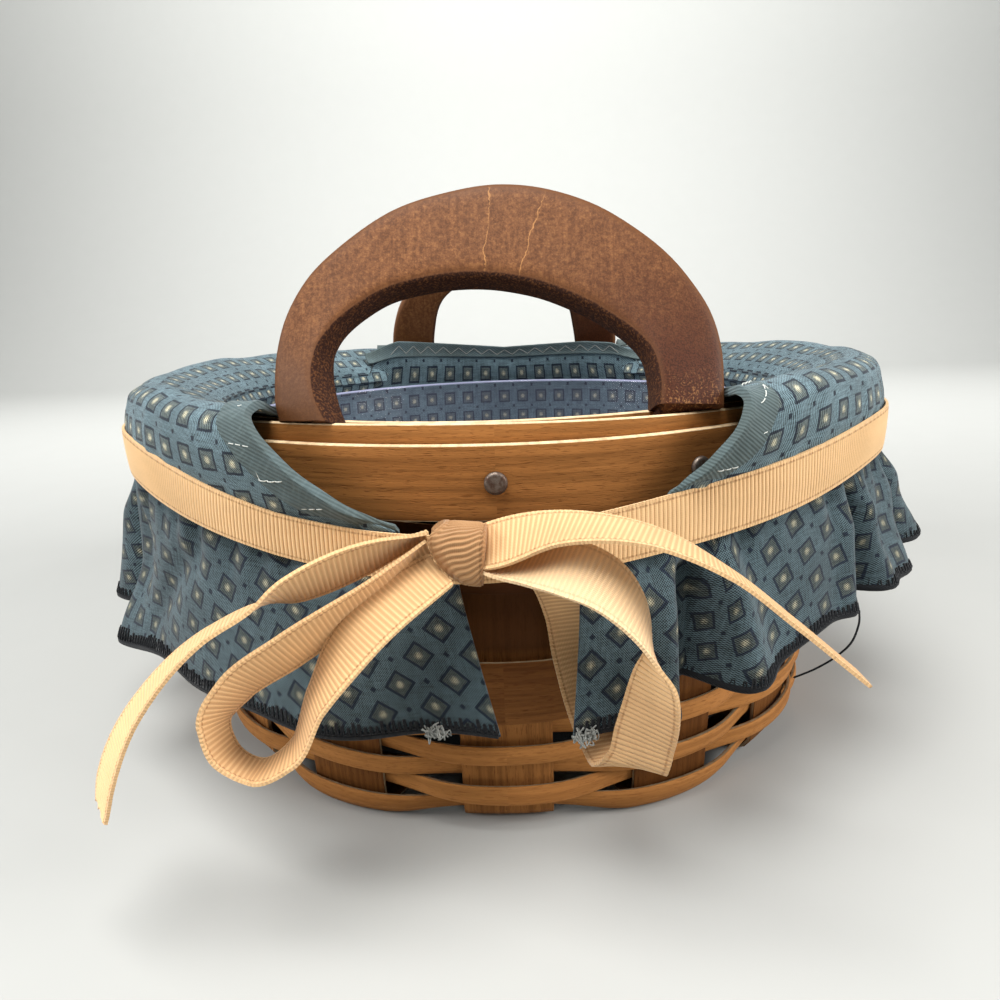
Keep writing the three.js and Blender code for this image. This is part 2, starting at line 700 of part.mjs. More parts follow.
// Point just off the knot in the direction of an offset from its middle
function offKnot([x, y, z]) {
  const reach = 2 * Math.hypot(x / KNOT_WIDTH, y / KNOT_DEPTH, z / KNOT_HEIGHT);
  const surface = new THREE.Vector3(x, y, z).divideScalar(reach);
  return surface.setLength(surface.length() + FIT).add(knotCentre);
}

const bowLengths = {
  bow_loop_left: {
    width: [0.45, -0.7, -0.56],
    pinched: 'both',
    steps: 20,
    points: [
      [-7.6, -2.2, -3], [-20, -6, -9], [-33, -9, -16], [-40, -11, -24],
      [-34, -11, -30], [-23, -10, -23], [-11, -5, -12], [-4.4, 0.2, -4.6],
    ],
  },
  bow_tail_left: {
    width: [0.25, -0.9, -0.35],
    pinched: 'start',
    steps: 14,
    points: [[-7.6, -2, 3.4], [-20, -5, 0], [-34, -9, -6], [-47, -12, -16], [-58, -13, -33]],
  },
  bow_loop_right: {
    width: [-0.3, -0.75, -0.58],
    pinched: 'both',
    steps: 20,
    points: [
      [7.4, -1.2, -0.5], [17, -7, -1], [27, -10, -6], [33, -11, -18],
      [26, -11, -30], [20, -9, -25], [13, -4, -15], [3.9, 0.9, -4.9],
    ],
  },
  bow_tail_right: {
    width: [0.1, -0.85, -0.52],
    pinched: 'start',
    steps: 14,
    points: [[7.4, -1.5, 4.6], [18, -5, 5.6], [30, -8, 3], [44, -11, -4], [60, -13, -14]],
  },
};

function bowLength({ width, pinched, points, steps }) {
  const path = new THREE.CatmullRomCurve3(points.map(fromKnot));
  path.points[0] = offKnot(points[0]);
  if (pinched === 'both') {
    path.points[points.length - 1] = offKnot(points[points.length - 1]);
  }
  const across = new THREE.Vector3(...width).normalize();
  const point = (u, v, side) => {
    const away = pinched === 'both' ? 2 * Math.min(u, 1 - u) : u;
    const full = lerp(BOW_PINCH, 1, Math.min(away / PINCH_SHARE, 1)) * RIBBON_WIDTH;
    const normal = across.clone().cross(path.getTangentAt(u)).normalize();
    return path.getPointAt(u)
      .addScaledVector(across, (v - 0.5) * full)
      .addScaledVector(normal, (side - 0.5) * RIBBON_THICK);
  };
  return plate(spaced(0, 1, steps), [0, 1], point);
}

for (const [name, length] of Object.entries(bowLengths)) {
  add(name, bowLength(length), grosgrain);
}

export default basket;
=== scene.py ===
import math

import bpy
import numpy as np
from mathutils import Matrix, Vector


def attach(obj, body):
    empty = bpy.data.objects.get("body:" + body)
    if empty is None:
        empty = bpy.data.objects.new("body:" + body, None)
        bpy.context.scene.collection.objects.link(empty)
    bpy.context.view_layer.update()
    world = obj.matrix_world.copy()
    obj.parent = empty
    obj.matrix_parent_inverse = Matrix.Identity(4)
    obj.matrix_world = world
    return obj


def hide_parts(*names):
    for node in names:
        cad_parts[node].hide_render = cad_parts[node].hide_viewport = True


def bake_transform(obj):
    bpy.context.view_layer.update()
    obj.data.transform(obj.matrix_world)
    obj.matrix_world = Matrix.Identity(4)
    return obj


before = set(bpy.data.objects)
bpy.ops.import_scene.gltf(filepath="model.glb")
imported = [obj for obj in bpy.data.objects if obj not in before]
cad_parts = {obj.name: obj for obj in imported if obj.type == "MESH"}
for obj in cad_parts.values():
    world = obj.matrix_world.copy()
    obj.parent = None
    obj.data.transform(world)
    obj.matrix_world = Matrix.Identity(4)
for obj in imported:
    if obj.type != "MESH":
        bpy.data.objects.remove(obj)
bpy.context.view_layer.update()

bl_info = {
    "name": "Button basket",
    "version": (1, 0, 0),
    "blender": (4, 5, 0),
    "location": "3D View > Sidebar > Basket",
    "description": "Splint basket with a cloth liner, a ribbon bow, leather handles and a clear insert",
    "category": "Object",
}

MM = 0.001
TURN = 2 * math.pi
SHARP_EDGE = math.radians(50)
UPRIGHTS = 14
NARROW_ROWS = 5
WIDE_ROWS = 3
SIDES = ((-1, "left"), (1, "right"))

# Tone of each weaver from the foot up: paler above 0; darker below 0, which on the top rows is painted shade
# under the bow and skirts
ROW_TONES_AND_SHADE = (0.5, 0.6, 0.4, 0.45, 0.15, -0.5, -0.8, -0.95)

# Flat length of half a collar in metres
COLLAR_FLAT = 0.235

# Flat width given to the narrow strips in metres, just above the least that a sheet may have
STRIP_FLAT = 0.0101

# Top of the rolled collar on each side: angle from the front in degrees, height above the rim in mm
ROLL_TOPS = {
    -1: (
        (0, 2.3), (28, 2.5), (36, 2.8), (42, 3.5), (49, 4.7),
        (72, 4.8), (91, 5.7), (105, 6.7), (120, 6.8), (180, 6),
    ),
    1: (
        (0, 2.8), (30, 2.8), (34, 3.5), (37, 4.3), (42, 5.2),
        (49, 5.5), (84, 6.2), (101, 6), (123, 5.4), (180, 5.4),
    ),
}

# Stations over the roll, as shares: the fourth is highest, the seventh is at the ribbon's upper edge
ROLL_KNOTS = (0, 0.14, 0.34, 0.54, 0.63, 0.73, 0.86, 1)

# Raised edge behind the rear handle: share of its half width from the left, height in mm
LIP_TOPS = ((-1, -0.6, 0, 0.68, 0.84, 1), (8, 9.1, 7.8, 11, 11.6, 14))

# Heights between which shade under the liner and bow is painted onto the wood: start and end of each change,
# in metres
PAINTED_SHADE_LOW = (0.0365, 0.0400)
PAINTED_SHADE_HIGH = (0.0640, 0.0655)

# Dip of the ribbon's upper edge beside the knot: angles from the front in degrees, mm
RIBBON_DIP = ((-75, -55, -42, -33, -25, -15, -4, 4, 20), (0, 0.4, 1.4, 2.4, 3.1, 2.6, 1.7, 0.6, 0))

# Faces of the handles in mm: outer edge (x, height above the bend), inner edge (x, height), twist in degrees
REAR_LEG = (
    (-40.6, -3.4, -26.6, -3.4, 8), (-41.2, 2, -26.6, 2, 8), (-41, 8, -26.2, 6, 6), (-39.4, 15, -25.4, 11, 3),
    (-36.6, 21.5, -24, 17.5, 1), (-30.5, 29.5, -21, 23.5, 0), (-22, 35.8, -15.6, 28, 0),
    (-12, 39.8, -8.5, 30.3, 0),
)
HANDLES = {
    "front": (
        (-39.2, -3.4, -28, -5.4, 28), (-39.9, 0, -29.8, -1.4, 31), (-39.9, 4, -31.1, 3.2, 28),
        (-39.7, 9.6, -31.3, 8.4, 18), (-38.4, 16.4, -30, 12, 9), (-35, 23.4, -27.1, 15.5, 4),
        (-28.5, 30.4, -21.6, 19.3, 1), (-19.5, 36.8, -15, 21.6, 0), (-9.1, 40.4, -7.5, 22.6, 0),
        (1.8, 41.9, 0.8, 22.2, 0), (9.5, 41.2, 7.2, 20.5, 0), (18.5, 37.8, 13.8, 18, 0),
        (28.3, 30.9, 20, 14.6, 0), (36, 22.3, 24.8, 10.8, -2), (40.2, 14.7, 27.6, 7, -6),
        (41.6, 6.7, 28.6, 3.2, -9), (41.5, 1.9, 28.8, 0.2, -10), (41.1, -3.4, 28.6, -3.4, -9),
    ),
    "rear": (
        *REAR_LEG, (0, 41.3, 0, 31, 0),
        *((-outer, high, -inner, low, -twist) for outer, high, inner, low, twist in REAR_LEG[::-1]),
    ),
}

# Painted light and shade on the loop that turns over, at some shares of its run: painted light above 0 and
# painted shade below
STRAND_SHARES = (0.30, 0.40, 0.62, 0.70)
STRAND_LIGHT_AND_SHADE = {"bow_loop_right": (0.40, -0.42, -0.42, -0.15)}

# Bow, measured from the knot in mm: place, direction across the ribbon from its near edge, width
BOW = {
    "bow_tail_left": (
        (-4.4, 0.1, 4.1, -0.13, 0.87, -0.47, 5), (-12.6, -3.5, 2.3, -0.05, 0.69, -0.72, 9),
        (-24.7, -8.6, -1.3, -0.2, 0.7, -0.68, 10), (-30.5, -9.2, -3.7, -0.37, 0.87, -0.31, 10),
        (-38.1, -10.8, -7.5, -0.46, 0.85, -0.25, 10), (-49.9, -11.9, -18.9, -0.6, 0.75, -0.28, 10),
        (-57.9, -10.6, -32.8, -0.64, 0.68, -0.36, 10), (-60.1, -9.6, -38.7, -0.6, 0.69, -0.41, 10),
    ),
    "bow_loop_left": (
        (-4.3, -0.4, 2.5, -0.08, 0.68, -0.73, 5), (-12.9, -4.3, -4, 0.05, 0.66, -0.74, 9),
        (-25.8, -9.5, -11, 0.06, 0.62, -0.78, 10), (-34.7, -10.6, -16.9, 0.02, 0.7, -0.71, 10),
        (-38.5, -10.6, -22.7, 0.05, 0.84, -0.55, 10), (-37.1, -10.9, -28.2, 0.08, 0.93, -0.36, 10),
        (-32.7, -10.9, -31, -0.14, 0.97, -0.19, 10), (-26.7, -11, -27.9, -0.35, 0.92, -0.16, 10),
        (-22.1, -10.4, -18.9, -0.47, 0.88, -0.04, 10), (-14.7, -9.3, -8.5, -0.74, 0.63, 0.19, 10),
        (-6.5, -4.8, -2.7, -0.69, 0.63, 0.35, 9), (-2.3, -2.2, -0.7, -0.64, 0.55, 0.54, 7),
    ),
    "bow_tail_right": (
        (2.8, 0.4, 1.7, -0.1, 0.77, 0.63, 8), (5.8, -0.8, 2.7, -0.06, 0.78, 0.62, 9),
        (18.5, -5.5, 6.6, 0.29, 0.92, 0.25, 10), (30.7, -9, 5.7, 0.36, 0.93, -0.03, 10),
        (41.4, -11, 0.5, 0.31, 0.92, -0.23, 10), (51.1, -11.7, -7.3, 0.36, 0.87, -0.32, 10),
        (62.1, -11.2, -16.9, 0.42, 0.81, -0.40, 10),
    ),
    "bow_loop_right": (
        (2.8, 0.4, -1.2, 0.06, 0.98, -0.2, 5), (7, -1.4, -0.8, 0.12, 0.96, 0.1, 7),
        (12.5, -4.5, 0.2, 0.3, 0.88, 0.35, 9), (18, -8, 0.9, 0.42, 0.68, 0.6, 10),
        (23.3, -10.1, -1, 0.44, 0.74, 0.5, 10), (27.6, -11, -5.6, 0.38, 0.88, 0.2, 10),
        (30.2, -11.1, -12.1, 0.1, 0.96, -0.24, 10), (30.6, -11.1, -16.8, -0.48, 0.86, -0.16, 10),
        (30.3, -10.6, -21.8, -0.73, 0.68, 0, 10), (29.4, -9.6, -27.5, -0.86, 0.5, 0.06, 10),
        (28.2, -8.1, -33.2, -0.88, 0.45, -0.14, 10), (27, -6, -34.4, -0.88, 0.45, -0.15, 10),
        (24.6, 1.5, -33.4, -0.93, 0.3, -0.1, 10), (22.4, 7.4, -29.4, -0.98, -0.14, -0.1, 9.5),
        (20.4, 8.8, -22, -0.97, -0.2, -0.05, 9), (18.6, 8.2, -13.5, -0.9, 0.3, -0.2, 8.5),
        (12.8, 4.8, -5.6, -0.34, 0.88, -0.3, 7), (2.8, 0.8, -2.4, -0.12, 0.96, -0.25, 5),
    ),
}


def length(name, description, millimetres):
    return bpy.props.FloatProperty(
        name=name, description=description, default=millimetres * MM, unit="LENGTH", precision=4
    )


def angle(name, description, degrees):
    return bpy.props.FloatProperty(
        name=name, description=description, default=math.radians(degrees), subtype="ANGLE"
    )


def colour(name, description, *rgb):
    return bpy.props.FloatVectorProperty(
        name=name, description=description, default=rgb, size=3, min=0, max=1, subtype="COLOR"
    )


class WoodSizes(bpy.types.PropertyGroup):
    """Sizes of the woven body and its rim"""

    rim_radius: length("Rim radius", "Outside of the trim band", 87)
    rim_height: length("Rim height", "Top of the rim above the table", 83.2)
    base_inset: length("Base inset", "How much the foot is smaller than the rim", 8)
    corner: length("Corner", "Radius between base and wall", 4)
    splint_width: length("Splint width", "Width of an upright", 19)
    splint_thick: length("Splint thickness", "Thickness of an upright", 1)
    hub_width: length("Hub width", "Width of a splint where they cross under the base", 7.6)
    weaver_thick: length("Weaver thickness", "Thickness of a weaver", 1)
    weave_out: length("Weave out", "How far a weaver bulges outside an upright", 2.1)
    weave_in: length("Weave in", "How far a weaver goes inside an upright", 1.9)
    weaver_slit: length("Weaver slit", "Gap between two rows", 0.7)
    narrow_pitch: length("Narrow pitch", "Height of a narrow row with its gap", 4.6)
    trim_height: length("Trim height", "Height of the outer band", 14)
    trim_thick: length("Trim thickness", "Thickness of the outer band", 1.5)
    trim_drop: length("Trim drop", "Outer band below the rim's top", 3)
    band_height: length("Band height", "Height of the backing strip and the inner band", 17)
    backing_thick: length("Backing thickness", "Thickness of the backing strip", 1.2)
    inner_thick: length("Inner thickness", "Thickness of the inner band", 1.3)
    tack_radius: length("Tack radius", "Radius of a tack's head", 2.2)
    fit: length("Fit", "Clearance between pieces that touch", 0.3)


class HandleSizes(bpy.types.PropertyGroup):
    """Sizes of the leather handles"""

    width: length("Width", "Outside width over both legs", 82.8)
    leg_width: length("Leg width", "Width of a leg", 13.6)
    thick: length("Thickness", "Thickness of the leather", 7.4)
    tab_thick: length("Tab thickness", "Thickness of the leather inside the rim", 2.4)
    tab_depth: length("Tab depth", "Length of the leather inside the rim", 16.5)
    lean: angle("Lean", "Lean of the arch towards the middle", 24)


class ClothSizes(bpy.types.PropertyGroup):
    """Sizes of the liner"""

    thick: length("Thickness", "Thickness of the liner's cloth", 0.7)
    neck_radius: length("Neck radius", "Radius of the bowl's neck", 74.65)
    roll_out: length("Roll out", "Roll outside the rim", 8.4)
    facing_width: length("Facing width", "Width of the facing along a collar's end", 6)
    tie_out_front: length("Tie out, front", "Tied cloth outside the rim at the handles", 2.8)
    tie_out_side: length("Tie out, side", "Tied cloth outside the rim at the sides", 7.6)
    tie_drop_front: length("Tie drop, front", "Ribbon below the rim at the handles", 20.7)
    tie_drop_side: length("Tie drop, side", "Ribbon below the rim at the sides", 9.2)
    skirt_front: length("Skirt, front", "Length of the skirt at the front", 31.5)
    skirt_left: length("Skirt, left", "Length of the skirt at the left", 42)
    skirt_right: length("Skirt, right", "Length of the skirt at the right", 30)
    hem_out: length("Hem out", "Hem outside the rim", 12)
    motif: length("Motif pitch", "Distance between the printed squares", 7)
    insert_wall: length("Insert wall", "Thickness of the clear insert", 1)


class RibbonSizes(bpy.types.PropertyGroup):
    """Sizes of the ribbon"""

    width: length("Width", "Width of the ribbon", 10)
    thick: length("Thickness", "Thickness of the ribbon", 0.55)
    rib: length("Rib pitch", "Distance between two ribs", 0.85)
    knot_width: length("Knot width", "Width of the knot", 9.4)
    knot_height: length("Knot height", "Height of the knot", 10)
    knot_depth: length("Knot depth", "Depth of the knot", 8.4)
    knot_angle: angle("Knot angle", "Place of the knot round the basket", -4)


class Colours(bpy.types.PropertyGroup):
    """Colours of the finishes"""

    maple: colour("Maple", "Stained splints and weavers", 0.30, 0.120, 0.034)
    # Dark maple also gives the painted shade on the top weavers and under the liner
    maple_dark: colour("Dark maple", "Grain and stain of the maple", 0.10, 0.032, 0.008)
    raw_edge: colour("Raw edge", "Cut edges of the strips", 0.90, 0.66, 0.39)
    leather: colour("Leather", "Face of the handles", 0.270, 0.104, 0.036)
    leather_pale: colour("Leather grain", "Pale grain and crack lines of the leather", 0.40, 0.19, 0.065)
    leather_right_shade: colour("Leather red", "Painted shade on the lower right leg", 0.075, 0.020, 0.008)
    leather_edge: colour("Leather edge", "Cut edge of the handles", 0.028, 0.010, 0.006)
    print_ground: colour("Print ground", "Ground of the printed cotton", 0.130, 0.195, 0.222)
    print_line: colour("Print line", "Outlines and dots of the print", 0.008, 0.013, 0.024)
    print_fill: colour("Print fill", "Inside of the printed squares", 0.165, 0.190, 0.170)
    print_centre: colour("Print centre", "Middle of the printed squares", 0.78, 0.72, 0.50)
    twill: colour("Twill", "Facings", 0.078, 0.104, 0.104)
    grosgrain: colour("Grosgrain", "Ribbon", 0.79, 0.51, 0.255)
    pale_thread: colour("Pale thread", "Stitches on the facings", 0.62, 0.64, 0.60)
    dark_thread: colour("Dark thread", "Overlocked hem", 0.006, 0.007, 0.009)
    steel: colour("Steel", "Tacks", 0.20, 0.165, 0.14)
    plastic: colour("Plastic", "Clear insert", 0.45, 0.47, 0.66)
    floor: colour("Floor", "Floor and backdrop", 0.43, 0.435, 0.42)


class Wire:
    """Output of a shader node that takes part in arithmetic; each operation adds a Math node."""

    def __init__(self, paint, socket):
        self.paint = paint
        self.socket = socket

    def math(self, operation, *values):
        return self.paint.node("ShaderNodeMath", {"operation": operation}, *values)

    def __add__(self, other):
        return self.math("ADD", self, other)

    __radd__ = __add__

    def __sub__(self, other):
        return self.math("SUBTRACT", self, other)

    def __rsub__(self, other):
        return self.math("SUBTRACT", other, self)

    def __mul__(self, other):
        return self.math("MULTIPLY", self, other)

    __rmul__ = __mul__

    def __truediv__(self, other):
        return self.math("DIVIDE", self, other)

    def __pow__(self, other):
        return self.math("POWER", self, other)

    def __abs__(self):
        return self.math("ABSOLUTE", self)

    def fract(self):
        return self.math("FRACT", self)

    def sine(self):
        return self.math("SINE", self)

    def larger(self, other):
        return self.math("MAXIMUM", self, other)

    def smaller(self, other):
        return self.math("MINIMUM", self, other)

    def ramp(self, low, high):
        """0 below low, 1 above high, smooth between them."""
        settings = {"interpolation_type": "SMOOTHSTEP"}
        return self.paint.node("ShaderNodeMapRange", settings, self, low, high, 0.0, 1.0)


class Paint:
    """Material under construction: nodes are made by one method and sums by Wire."""

    def __init__(self, name, **constants):
        self.material = bpy.data.materials.new(name)
        self.material.use_nodes = True
        self.tree = self.material.node_tree
        self.tree.nodes.clear()
        self.shader = self.tree.nodes.new("ShaderNodeBsdfPrincipled")
        output = self.tree.nodes.new("ShaderNodeOutputMaterial")
        self.tree.links.new(self.shader.outputs[0], output.inputs["Surface"])
        self.set(**constants)

    def put(self, socket, value):
        if isinstance(value, Wire):
            self.tree.links.new(value.socket, socket)
        elif hasattr(value, "__len__") and len(value) == 3 and socket.type == "RGBA":
            socket.default_value = (*value, 1)
        else:
            socket.default_value = value

    def node(self, kind, settings, *values, output=0, **named):
        node = self.tree.nodes.new(kind)
        for key, value in settings.items():
            setattr(node, key, value)
        for socket, value in zip(node.inputs, values):
            self.put(socket, value)
        for key, value in named.items():
            self.put(node.inputs[key.replace("_", " ")], value)
        return Wire(self, node.outputs[output])

    def set(self, **sockets):
        for key, value in sockets.items():
            self.put(self.shader.inputs[key.replace("_", " ")], value)

    def split(self, vector):
        node = self.tree.nodes.new("ShaderNodeSeparateXYZ")
        self.put(node.inputs[0], vector)
        return tuple(Wire(self, out) for out in node.outputs)

    def flat(self, layer="Metres"):
        """Coordinates along and across the piece from one of its UV maps."""
        along, across, _ = self.split(self.node("ShaderNodeUVMap", {"uv_map": layer}))
        return along, across

    def place(self):
        return self.node("ShaderNodeTexCoord", {}, output="Object")

    def vector(self, x, y, z=0.0):
        return self.node("ShaderNodeCombineXYZ", {}, x, y, z)

    def noise(self, where, scale=1.0, detail=3.0, rough=0.55):
        return self.node(
            "ShaderNodeTexNoise", {}, Vector=where, Scale=scale, Detail=detail, Roughness=rough
        )

    def streaks(self, x, y, detail, rough, z=0.0):
        """Noise over coordinates that are scaled one by one."""
        return self.noise(self.vector(x, y, z), 1.0, detail, rough)

    def attribute(self, name):
        return self.node("ShaderNodeAttribute", {"attribute_name": name}, output="Fac")

    def mix(self, share, first, second, blend="MIX"):
        node = self.tree.nodes.new("ShaderNodeMix")
        node.data_type = "RGBA"
        node.blend_type = blend
        self.put(node.inputs[0], share)
        self.put(node.inputs[6], first)
        self.put(node.inputs[7], second)
        return Wire(self, node.outputs[2])

    def bump(self, height, distance, strength=1.0):
        normal = self.node("ShaderNodeBump", {}, Strength=strength, Distance=distance, Height=height)
        self.set(Normal=normal)


def colours():
    return bpy.context.scene.basket_colours


def scaled(rgb, factor):
    return tuple(min(1.0, value * factor) for value in rgb)


def paint_maple():
    c = colours()
    p = Paint("honey_maple", Specular_IOR_Level=0.05)
    along, across = p.flat()
    tone = p.attribute("tone")
    seed = tone * 7.3
    grain = p.streaks(along * 28, across * 900, 4.0, 0.6, seed)
    cloud = p.streaks(along * 22, across * 60, 3.0, 0.6, seed + 4)
    fleck = p.streaks(along * 300, across * 2600, 1.0, 0.4, seed + 9).ramp(0.63, 0.72)
    fine = p.streaks(along * 160, across * 5200, 2.0, 0.5, seed + 2)
    wood = p.mix(grain.ramp(0.36, 0.68), scaled(c.maple, 1.1), scaled(c.maple, 0.56))
    wood = p.mix(cloud.ramp(0.42, 0.78) * 0.55, wood, c.maple_dark)
    pore = p.streaks(along * 620, across * 5600, 1.0, 0.4, seed + 5).ramp(0.60, 0.70)
    wood = p.mix(fleck * 0.6, wood, c.maple_dark)
    wood = p.mix(pore * 0.6, wood, c.maple_dark)
    wood = p.mix(fine.ramp(0.5, 0.8) * 0.22, wood, scaled(c.maple, 1.7))
    # Tone above 0 makes the wood paler; tone below 0 darkens it, which is random tone on the splints and
    # painted shade on the top weavers
    wood = p.mix((tone * 0.5 + 0.5).ramp(0.0, 1.0) * 0.5, wood, scaled(c.maple, 1.35), "SCREEN")
    wood = p.mix((tone * -1.0).ramp(0.0, 1.0) * 0.92, wood, scaled(c.maple_dark, 0.62))
    _, _, z = p.split(p.place())
    # Painted shade on the band of wood under the liner and the bow
    painted_shade_band = z.ramp(*PAINTED_SHADE_LOW) * (1.0 - z.ramp(*PAINTED_SHADE_HIGH))
    wood = p.mix(painted_shade_band * 0.88, wood, scaled(c.maple_dark, 0.5))
    p.set(Base_Color=wood, Roughness=0.42 + grain * 0.22)
    p.bump(grain * 0.5 + fleck * -0.6 + pore * -0.6 + fine * 0.5, 0.00008, 0.7)
    return p.material


def paint_raw_edge(name, rgb):
    c = colours()
    p = Paint(name, Specular_IOR_Level=0.25)
    along, across = p.flat()
    fibre = p.streaks(along * 500, across * 500, 3.0, 0.6)
    stain = p.streaks(along * 60, across * 60, 2.0, 0.5)
    tone = p.mix(fibre.ramp(0.35, 0.7), rgb, scaled(rgb, 0.6))
    p.set(Base_Color=p.mix(stain.ramp(0.45, 0.75) * 0.4, tone, scaled(c.maple, 1.1)), Roughness=0.75)
    p.bump(fibre, 0.00008, 0.6)
    return p.material


def paint_leather():
    c = colours()
    p = Paint("brown_leather", Specular_IOR_Level=0.18)
    where = p.place()
    x, y, z = p.split(where)
    _, around_share = p.flat("Share")
    turn = (around_share * TURN + math.pi / 2).sine()
    edge = abs(turn).ramp(0.62, 0.76)
    inner = (turn * -1.0).ramp(0.62, 0.76)
    grain = p.noise(where, 3200.0, 2.0, 0.6)
    fibre = p.streaks(x * 2400, y * 900, 2.0, 0.6, z * 900)
    cloud = p.noise(where, 55.0, 4.0, 0.6)
    wear = p.noise(where, 160.0, 4.0, 0.7)
    face = p.mix(cloud.ramp(0.3, 0.72), scaled(c.leather, 0.80), scaled(c.leather, 1.18))
    face = p.mix(wear.ramp(0.50, 0.76) * 0.35, face, scaled(c.leather, 1.55))
    face = p.mix(grain.ramp(0.30, 0.70) * 0.45, scaled(c.leather, 0.62), face)
    face = p.mix(grain.ramp(0.52, 0.72) * 0.26, face, c.leather_pale)
    face = p.mix(fibre.ramp(0.60, 0.74) * wear.ramp(0.42, 0.6) * 0.18, face, c.leather_pale)
    mottle = p.noise(where, 1100.0, 3.0, 0.7)
    stria = p.streaks(x * 1500, y * 120, 3.0, 0.6, z * 150)
    face = p.mix(stria.ramp(0.40, 0.62), p.mix(1.0, face, (0.80, 0.77, 0.74), "MULTIPLY"), face)
    face = p.mix(mottle.ramp(0.34, 0.60), p.mix(1.0, face, (0.66, 0.62, 0.58), "MULTIPLY"), face)
    face = p.mix(mottle.ramp(0.52, 0.70) * 0.22, face, c.leather_pale)
    foot = 1.0 - (z + (wear - 0.5) * 0.008).ramp(0.084, 0.108)
    face = p.mix(foot * 0.8, face, scaled(c.leather, 0.38))
    # Painted shade on the lower right leg, mixed towards a darker red-brown
    low = 1.0 - (z + (wear - 0.5) * 0.014).ramp(0.088, 0.124)
    lower_right_shade = low * (x + (cloud - 0.5) * 0.02).ramp(0.0, 0.032)
    face = p.mix(lower_right_shade * 0.92, face, p.mix(grain.ramp(0.35, 0.6), scaled(c.leather_right_shade, 0.45), c.leather_right_shade))
    pit = (1.0 - z.ramp(0.0845, 0.0925)) * (fibre + grain).ramp(1.06, 1.20) * x.ramp(0.02, 0.034)
    face = p.mix(pit * 0.5, face, c.leather_pale)
    first_line = crack_distance(x, z, wear, -0.0013, 0.09)
    crack = 1.0 - first_line.smaller(crack_distance(x, z, wear, 0.0052, 0.34)).ramp(0.00003, 0.00017)
    face = p.mix(crack * wear.ramp(0.40, 0.56) * 0.7, face, scaled(c.leather_pale, 1.3))
    # Painted shade towards the edges of the face, where it rounds away from the light
    rim = abs(turn).ramp(0.35, 0.66)
    face = p.mix(rim * 0.5, face, scaled(c.leather, 0.4))
    fuzz = p.noise(where, 2200.0, 2.0, 0.7)
    cut = p.mix(fuzz.ramp(0.45, 0.7), c.leather_edge, scaled(c.leather, 0.45))
    side = p.mix(inner, scaled(c.leather, 0.5), cut)
    p.set(Base_Color=p.mix(edge, face, side), Roughness=0.46 + cloud * 0.16 + inner * 0.35)
    p.bump(grain * 0.5 + fibre * 0.3 + wear * 0.8 + fuzz * inner * 1.5, 0.00010, 0.7)
    return p.material


def crack_distance(x, z, wear, foot, slope):
    """Distance across from a crooked line up the leather."""
    return abs(x - (z - 0.108) * slope - foot + (wear - 0.5) * 0.0034)


def paint_print(name, painted_shade_scale, size=None):
    """Printed cotton; size is that of the cloth where its threads follow its edges, not the print."""
    c = colours()
    cloth = bpy.context.scene.basket_cloth
    p = Paint(name, Specular_IOR_Level=0.15, Sheen_Weight=0.12, Sheen_Roughness=0.5)
    along, across = p.flat()
    warp_at, weft_at = along, across
    if size:
        share, down = p.flat("Share")
        warp_at, weft_at = share * size[0], down * size[1]
    jitter = p.streaks(along * 1100, across * 1100, 1.0, 0.5) - 0.5
    x = along / cloth.motif + jitter * 0.035 + 0.3
    y = across / cloth.motif + jitter * 0.035 + 0.25
    cell_x, cell_y = abs(x.fract() - 0.5), abs(y.fract() - 0.5)
    square = cell_x.larger(cell_y)
    line = square.ramp(0.212, 0.236) * (1.0 - square.ramp(0.284, 0.310))
    inside = 1.0 - square.ramp(0.212, 0.236)
    middle = (cell_x * cell_x + cell_y * cell_y) ** 0.5 + jitter * 0.05
    glow = 1.0 - middle.ramp(0.01, 0.150)
    corner_x, corner_y = 0.5 - cell_x, 0.5 - cell_y
    dot = 1.0 - (corner_x.larger(corner_y) + jitter * 0.03).ramp(0.048, 0.076)
    slub = p.streaks(warp_at * 260, weft_at * 2300, 2.0, 0.6)
    slub_up = p.streaks(warp_at * 2300, weft_at * 260, 2.0, 0.6)
    thread = TURN / (0.56 * MM)
    weave = (weft_at * thread).sine() * (warp_at * thread).sine()
    cloud = p.streaks(along * 60, across * 60, 3.0, 0.5)
    # This scale darkens the whole print; the skirt's low value is painted shade
    deep, light = scaled(c.print_ground, 0.84 * painted_shade_scale), scaled(c.print_ground, 1.14 * painted_shade_scale)
    ground = p.mix(cloud.ramp(0.3, 0.7), deep, light)
    tone = p.mix(inside * 0.75, ground, scaled(c.print_fill, 0.62 * painted_shade_scale))
    tone = p.mix(glow * 0.72, tone, scaled(c.print_centre, painted_shade_scale))
    tone = p.mix(line * 0.95, tone, c.print_line)
    tone = p.mix(dot * 0.95, tone, c.print_line)
    threads = (weave * 0.72 + (slub - 0.5) * 0.9 + (slub_up - 0.5) * 0.9 + 0.5).ramp(0.0, 1.0) * 1.8 + 0.1
    tone = p.mix(1.0, tone, p.vector(threads, threads, threads), "MULTIPLY")
    p.set(Base_Color=tone, Roughness=0.88)
    p.bump(weave * 0.5 + slub * 0.3 + slub_up * 0.3, 0.00008, 0.5)
    return p.material


